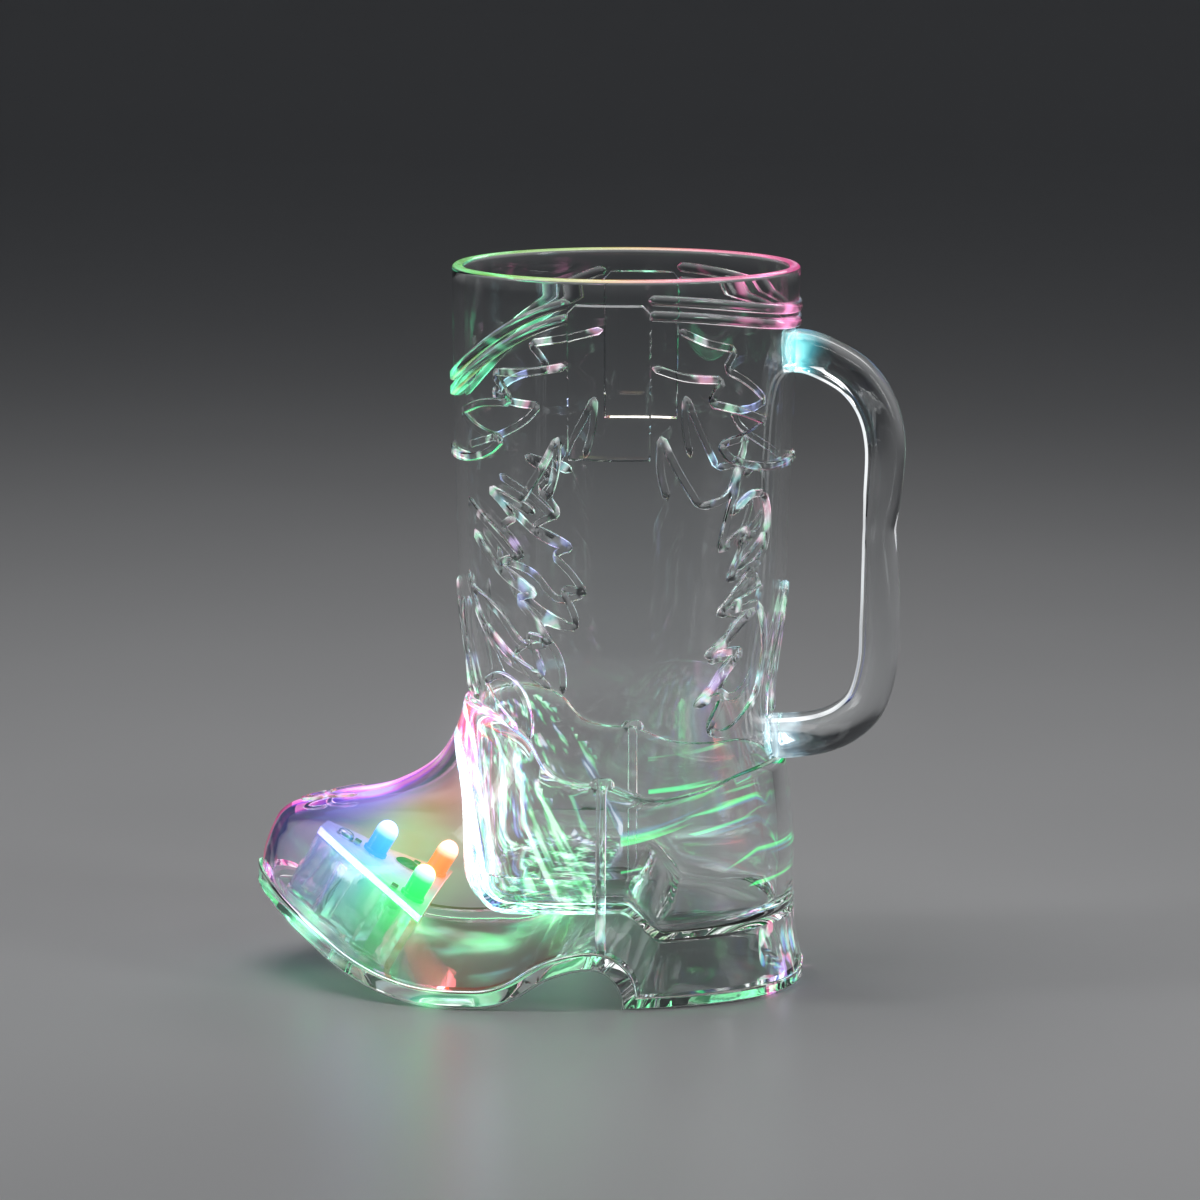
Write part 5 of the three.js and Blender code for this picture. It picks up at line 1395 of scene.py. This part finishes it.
class CUP_OT_module(Operator):
    """Builds the frosted tray and the board with its small parts"""
    bl_idname = "cup.module"
    bl_label = "Lamp module"

    def execute(self, context):
        spill = context.scene.cup_lamps.spill
        # The tray's lamp colours are painted on as emission.
        tray = softened("led_tray", "lamp_tray", 0.3, [frosted_plastic("frosted_tray", 0.012, spill * 0.7)])
        dress(tray, "cup", "frosted_tray", "led_tray")
        self.board(spill)
        ends = plated_metal("tinned_end", (0.78, 0.78, 0.76), (0.6, 0.6, 0.58), (1, 1, 1), 0.3)
        case = moulded_plastic("black_component", (0.02, 0.02, 0.022, 1), 0.35)
        for name, _, y in LAMPS:
            part = softened(f"resistor_{name}", f"resistor_{name}_case", 0.12, [case, ends],
                            lambda p, n, y=y: int(abs(p.y - y) > 1.05))
            dress(part, "cup", "black_component", f"resistor_{name}")
        base = BOARD_TOP + FIT_GAP
        dome = [(3 * math.cos(a) ** 0.9, base + 1.6 * math.sin(a)) for a in np.linspace(0.06, math.pi / 2, 12)]
        chip = turned("control_chip_blob", [(0, base), (2.7, base), (2.95, base + 0.04), *dome], 40, (0, 7, 0),
                      module_frame(), [case])
        dress(smooth(chip, 50), "cup", "black_component", "control_chip")
        steel = plated_metal("screw_steel", (0.68, 0.69, 0.71), (0.42, 0.42, 0.44), (1, 1, 0.3), 0.22)
        for end, x in (("front", POSTS[0]), ("rear", POSTS[1])):
            self.screw(f"board_screw_{end}", x, steel)
        return {"FINISHED"}

    def board(self, spill):
        """The white board with raised tracks and tinned pads; the lamps' light is painted on its face and edges as
        emission.
        """
        place = module_frame()
        mask = new_material("board_mask", Specular_IOR_Level=0.4, Emission_Strength=spill * 1.1)
        tree = mask.node_tree
        where = add(tree, "ShaderNodeTexCoord").outputs["Object"]
        weave = add(tree, "ShaderNodeTexNoise", {"Vector": where, "Scale": 700.0, "Detail": 3.0})
        colour = ramp(tree, weave.outputs["Fac"], [(0.35, (0.76, 0.79, 0.76)), (0.65, (0.9, 0.92, 0.89))])
        finish = group_in(mask, "moulded_finish", Roughness=0.28, Roughness_drift=0.2, Ripple_scale=1500.0,
                          Ripple_depth=0.06)
        feed(mask, Base_Color=colour.outputs["Color"], Roughness=finish.outputs["Roughness"],
             Normal=finish.outputs["Normal"])
        paint_spill_on(mask, 0.012)
        pad = plated_metal("tinned_pad", (0.8, 0.79, 0.75), (0.6, 0.6, 0.57), (1, 1, 1), 0.3)
        edge = frosted_plastic("lit_board_edge", 0.02, spill * 3.2)
        board = softened("circuit_board", "lamp_board", 0.15, [mask, pad, edge],
                         lambda p, n: 2 if abs(n.z) < 0.8 else 0)
        raised = []
        for _, x, y in LAMPS:
            for side in (-1, 1):
                ring = [(0.62, BOARD_TOP - 0.4), (1.0, BOARD_TOP - 0.4), (1.0, BOARD_TOP + 0.04),
                        (0.9, BOARD_TOP + 0.08), (0.62, BOARD_TOP + 0.08)]
                raised.append(ring_pad(ring, (x, y + side * 1.27, 0), place, [pad]))
            track = [(x - 1.3, y - 0.3), (x - 1.3, y + 0.3), (x - 3.6, y + 0.3), (x - 3.6, y - 0.3)]
            raised.append(prism("track", track, BOARD_TOP - 0.3, BOARD_TOP + 0.05, "z", [mask], place))
        for x in POSTS:
            ring = [(1.34, BOARD_TOP - 0.4), (2.3, BOARD_TOP - 0.4), (2.3, BOARD_TOP + 0.04),
                    (2.2, BOARD_TOP + 0.08), (1.34, BOARD_TOP + 0.08)]
            raised.append(ring_pad(ring, (x, 0, 0), place, [pad]))
        shaped(board, raised, "UNION")
        dress(smooth(board, 30), "cup", "board", "circuit_board")

    def screw(self, node, x, steel):
        head = BOARD_TOP + FIT_GAP
        tip = head - 1.6 - 7 + 1
        thread = []
        for z in np.arange(tip + 1.1, head - 0.6, 0.5):
            thread += [(0.78, z), (0.99, z + 0.2), (0.99, z + 0.27), (0.78, z + 0.47)]
        crown = [(2.0, head), (2.0, head + 0.35), (1.86, head + 0.75), (1.45, head + 1.08), (0.9, head + 1.25),
                 (0, head + 1.3)]
        profile = [(0, tip), (0.35, tip), (0.7, tip + 0.9), *thread, (0.9, head - 0.05), (0.95, head), *crown]
        place = module_frame()
        screw = turned(f"{node}_turned", profile, 32, (x, 0, 0), place, [steel])
        slot = [(x - 2.2, -0.3), (x + 2.2, -0.3), (x + 2.2, 0.3), (x - 2.2, 0.3)]
        shaped(screw, [prism("slot", slot, head + 0.7, head + 3, "z", [steel], place)], "DIFFERENCE")
        dress(smooth(screw, 35), "cup", "screw_steel", node)


def ring_pad(profile, middle, place, materials):
    """A flat ring from a closed profile of radii and heights."""
    sides = 24
    turns = np.linspace(0, 2 * math.pi, sides, endpoint=False)
    points = [(r * math.cos(a) + middle[0], r * math.sin(a) + middle[1], z) for r, z in profile for a in turns]
    count = len(profile)
    faces = []
    for i in range(count):
        for j in range(sides):
            k, n = (i + 1) % count, (j + 1) % sides
            faces.append((i * sides + j, i * sides + n, k * sides + n, k * sides + j))
    return new_object("pad", points, faces, materials, None, place)


class CUP_OT_power(Operator):
    """Builds the button cells and their spring contacts"""
    bl_idname = "cup.power"
    bl_label = "Cells and contacts"

    def execute(self, context):
        steel = plated_metal("cell_steel", (0.72, 0.73, 0.75), (0.5, 0.5, 0.53), (0.15, 1, 0.15), 0.18)
        ring = moulded_plastic("cell_seal", (0.05, 0.05, 0.055, 1), 0.4)
        for index in range(3):
            start = -8.4 + index * 5.7
            profile = [(0, start), (4.4, start), (4.62, start + 0.06), (4.7, start + 0.2), (4.7, start + 0.42),
                       (4.95, start + 0.5), (5.2, start + 0.5), (5.5, start + 0.62), (5.72, start + 0.8),
                       (5.8, start + 1.05), (5.8, start + 5.05), (5.72, start + 5.28), (5.5, start + 5.4),
                       (5.0, start + 5.4), (4.9, start + 5.34), (0, start + 5.34)]
            cell = turned(f"cell_{index + 1}", profile, 56, (BAY_X, 0, 6.3), module_frame(), [steel, ring], "y")
            faces = cell.data.polygons
            back = module_frame().inverted()
            for face in faces:
                spot = back @ face.center / MM
                radius = math.hypot(spot.x - BAY_X, spot.z - 6.3)
                face.material_index = int(4.72 < radius < 5.15 and spot.y < start + 0.6)
            dress(smooth(cell, 30), "cup", "cell_steel", f"button_cell_{index + 1}")
        strip = plated_metal("contact_steel", (0.78, 0.74, 0.66), (0.55, 0.52, 0.47), (1, 1, 0.12), 0.2)
        for end in ("negative", "positive"):
            contact = softened(f"contact_{end}", f"contact_{end}_strip", 0.12, [strip])
            dress(contact, "cup", "contact_steel", f"contact_{end}")
        return {"FINISHED"}


class CUP_OT_button(Operator):
    """Builds the push button under the sole and the switch that it works"""
    bl_idname = "cup.button"
    bl_label = "Button and switch"

    def execute(self, context):
        case = moulded_plastic("switch_case", (0.03, 0.03, 0.032, 1), 0.4)
        white = moulded_plastic("white_button", (0.88, 0.89, 0.88, 1), 0.3)
        body = softened("switch_body", "switch_case", 0.15, [case])
        dress(body, "cup", "black_component", "switch_body")
        pin = softened("switch_plunger", "switch_pin", 0.15, [white])
        dress(pin, "button", "white_button", "switch_plunger")
        face, flange, top = -3.1, 1.3, 10.5
        dish = [(0, face + 0.35), (0.7, face + 0.32), (1.4, face + 0.2), (1.9, face + 0.05), (2.15, face)]
        side = [(2.4, face + 0.05), (2.65, face + 0.2), (2.78, face + 0.42), (2.8, face + 0.65), (2.8, FIT_GAP)]
        stem = [(3.5, FIT_GAP), (3.6, FIT_GAP + 0.1), (3.6, flange - 0.1), (3.5, flange), (2.0, flange),
                (1.8, flange + 0.25), (1.8, top - 0.2), (1.6, top), (0, top)]
        button = turned("sole_button", [*dish, *side, *stem], 48, BUTTON_PLACE, module_frame(), [white])
        dress(smooth(button, 40), "button", "white_button", "push_button")
        return {"FINISHED"}


class CUP_OT_door(Operator):
    """Builds the battery door and its captive screw"""
    bl_idname = "cup.door"
    bl_label = "Battery door"

    def execute(self, context):
        # The door's lamp colours are painted on as emission.
        frosted = frosted_plastic("frosted_door", 0.012, context.scene.cup_lamps.spill * 0.4)
        door = softened("battery_door", "cell_door", 0.22, [frosted])
        dress(door, "door", "frosted_door", "battery_door")
        steel = plated_metal("door_screw_steel", (0.66, 0.67, 0.69), (0.4, 0.4, 0.42), (1, 1, 0.3), 0.22)
        screw = softened("door_screw", "door_screw_turned", 0.08, [steel])
        dress(screw, "door", "screw_steel", "door_screw")
        return {"FINISHED"}


# Stage

class CUP_OT_stage(Operator):
    """Sets the camera, the pale floor and the soft studio lights"""
    bl_idname = "cup.stage"
    bl_label = "Stage"

    def execute(self, context):
        scene = context.scene
        stage = scene.cup_stage
        self.camera(scene, stage)
        self.floor(stage)
        self.light(scene, "key_softbox", (-0.1, 0.05, 0.95), (0, 0, 0), (0.7, 0.7), stage.key_power)
        self.light(scene, "handle_softbox", (0.5, -0.55, 0.75), (0.05, 0, 0.12), (0.3, 0.14), stage.side_power / 6, 60)
        self.light(scene, "left_strip", (-1.5, -0.45, 0.8), (0, 0, 0.09), (0.3, 0.9), stage.side_power, 50)
        self.light(scene, "right_strip", (1.5, -0.55, 0.8), (0, 0, 0.09), (0.3, 0.9), stage.side_power, 50)
        self.light(scene, "back_strip", (0.6, 1.5, 1.0), (0, 0, 0.1), (1.2, 0.35), stage.side_power, 50)
        world = bpy.data.worlds.new("studio")
        world.use_nodes = True
        world.node_tree.nodes["Background"].inputs["Color"].default_value = (0.055, 0.058, 0.062, 1)
        scene.world = world
        scene.view_settings.view_transform = "Standard"
        scene.cycles.max_bounces = 36
        scene.cycles.transmission_bounces = 36
        scene.cycles.glossy_bounces = 16
        scene.cycles.transparent_max_bounces = 16
        scene.cycles.sample_clamp_indirect = 12
        self.bloom(scene)
        return {"FINISHED"}

    def camera(self, scene, stage):
        """The photograph's viewpoint."""
        turn, yaw, tilt, roll = (math.radians(v) for v in (5.543, -0.3, 9.521, 0.138))
        right = Vector((math.cos(turn), math.sin(turn), 0))
        ahead = Vector((-math.sin(turn), math.cos(turn), 0))
        up = Vector((0, 0, 1))
        level = ahead * math.cos(yaw) + right * math.sin(yaw)
        across = right * math.cos(yaw) - ahead * math.sin(yaw)
        view = level * math.cos(tilt) - up * math.sin(tilt)
        above = up * math.cos(tilt) + level * math.sin(tilt)
        x = across * math.cos(roll) + above * math.sin(roll)
        y = above * math.cos(roll) - across * math.sin(roll)
        data = bpy.data.cameras.new("camera")
        data.sensor_width = 36
        data.lens = stage.lens
        data.clip_end = 50
        camera = bpy.data.objects.new("camera", data)
        axes = Matrix((x, y, -view)).transposed()
        camera.matrix_world = Matrix.Translation((0.1177, -1.0998, 0.2730)) @ axes.to_4x4()
        scene.collection.objects.link(camera)
        scene.camera = camera

    def floor(self, stage):
        """A plain pale sweep: a floor that turns up into a backdrop far behind the cup."""
        material = new_material("pale_floor", Base_Color=stage.floor_colour, Specular_IOR_Level=0.3)
        tree = material.node_tree
        place = add(tree, "ShaderNodeTexCoord").outputs["Object"]
        drift = add(tree, "ShaderNodeTexNoise", {"Vector": place, "Scale": 9.0, "Detail": 6.0})
        rough = add(tree, "ShaderNodeMapRange", {"Value": drift.outputs["Fac"], "To Min": 0.3, "To Max": 0.42})
        feed(material, Roughness=rough.outputs[0])
        self.open_below(tree)
        level = -0.0002
        turns = np.linspace(0, 2 * math.pi, 128, False)
        rows = [(0.0, level), *[(r, level) for r in (0.3, 0.8, 1.6, 2.6)]]
        rows += [(2.6 + 1.6 * math.sin(a), level + 1.6 * (1 - math.cos(a))) for a in np.linspace(0.1, math.pi / 2, 14)]
        rows.append((4.2, 5.5))
        points = [(max(r, 1e-4) * math.cos(a), max(r, 1e-4) * math.sin(a), z) for r, z in rows for a in turns]
        count = len(turns)
        faces = [(i * count + j, i * count + (j + 1) % count, (i + 1) * count + (j + 1) % count, (i + 1) * count + j)
                 for i in range(len(rows) - 1) for j in range(count)]
        mesh = bpy.data.meshes.new("floor")
        mesh.from_pydata(points, [], [f[::-1] for f in faces])
        mesh.materials.append(material)
        mesh.shade_smooth()
        floor = bpy.data.objects.new("floor", mesh)
        bpy.context.scene.collection.objects.link(floor)

    def open_below(self, tree):
        """Lets the cup be seen from under the floor."""
        under = add(tree, "ShaderNodeNewGeometry").outputs["Backfacing"]
        shader = tree.nodes["Principled BSDF"].outputs["BSDF"]
        mix = add(tree, "ShaderNodeMixShader", {0: under, 1: shader})
        tree.links.new(add(tree, "ShaderNodeBsdfTransparent").outputs[0], mix.inputs[2])
        tree.links.new(mix.outputs[0], tree.nodes["Material Output"].inputs["Surface"])

    def light(self, scene, name, place, aim, size, power, spread=180):
        data = bpy.data.lights.new(name, "AREA")
        data.spread = math.radians(spread)
        data.shape = "RECTANGLE"
        data.size, data.size_y = size
        data.energy = power
        lamp = bpy.data.objects.new(name, data)
        way = Vector(aim) - Vector(place)
        lamp.matrix_world = Matrix.Translation(place) @ way.to_track_quat("-Z", "Y").to_matrix().to_4x4()
        scene.collection.objects.link(lamp)

    def bloom(self, scene):
        """Soft glow of the lamps, as a lens gives."""
        scene.use_nodes = True
        tree = scene.node_tree
        tree.nodes.clear()
        layers = tree.nodes.new("CompositorNodeRLayers")
        glare = tree.nodes.new("CompositorNodeGlare")
        glare.glare_type = "BLOOM"
        for name, value in (("Threshold", 1.0), ("Strength", 0.32), ("Size", 0.55)):
            glare.inputs[name].default_value = value
        out = tree.nodes.new("CompositorNodeComposite")
        tree.links.new(layers.outputs["Image"], glare.inputs["Image"])
        tree.links.new(glare.outputs["Image"], out.inputs["Image"])


class CUP_PT_panel(Panel):
    """Sizes, finishes and steps of the boot cup"""
    bl_idname = "CUP_PT_panel"
    bl_label = "Boot cup"
    bl_space_type = "VIEW_3D"
    bl_region_type = "UI"
    bl_category = "Boot cup"

    def draw(self, context):
        layout = self.layout
        for name in SETTINGS:
            group = getattr(context.scene, name)
            column = layout.column(align=True)
            for key in group.bl_rna.properties.keys():
                if key not in ("rna_type", "name"):
                    column.prop(group, key)
        for operator in OPERATORS:
            layout.operator(operator.bl_idname)


OPERATORS = (CUP_OT_stage, CUP_OT_body, CUP_OT_handle, CUP_OT_base, CUP_OT_lamps, CUP_OT_module, CUP_OT_power,
             CUP_OT_button, CUP_OT_door)
SETTINGS = {"cup_relief": CupReliefSettings, "cup_plastic": CupPlasticSettings,
            "cup_lamps": CupLampSettings, "cup_stage": CupStageSettings}
CLASSES = (*SETTINGS.values(), *OPERATORS, CUP_PT_panel)


def register():
    for kind in CLASSES:
        bpy.utils.register_class(kind)
    for name, kind in SETTINGS.items():
        setattr(bpy.types.Scene, name, PointerProperty(type=kind))


def unregister():
    for name in SETTINGS:
        delattr(bpy.types.Scene, name)
    for kind in reversed(CLASSES):
        bpy.utils.unregister_class(kind)


def main():
    register()
    moulded_finish()
    edge_glints()
    lamp_spill()
    brushed_metal()
    bpy.ops.cup.stage()
    bpy.ops.cup.body()
    bpy.ops.cup.handle()
    bpy.ops.cup.base()
    bpy.ops.cup.lamps()
    bpy.ops.cup.module()
    bpy.ops.cup.power()
    bpy.ops.cup.button()
    bpy.ops.cup.door()


if __name__ == "__main__":
    main()
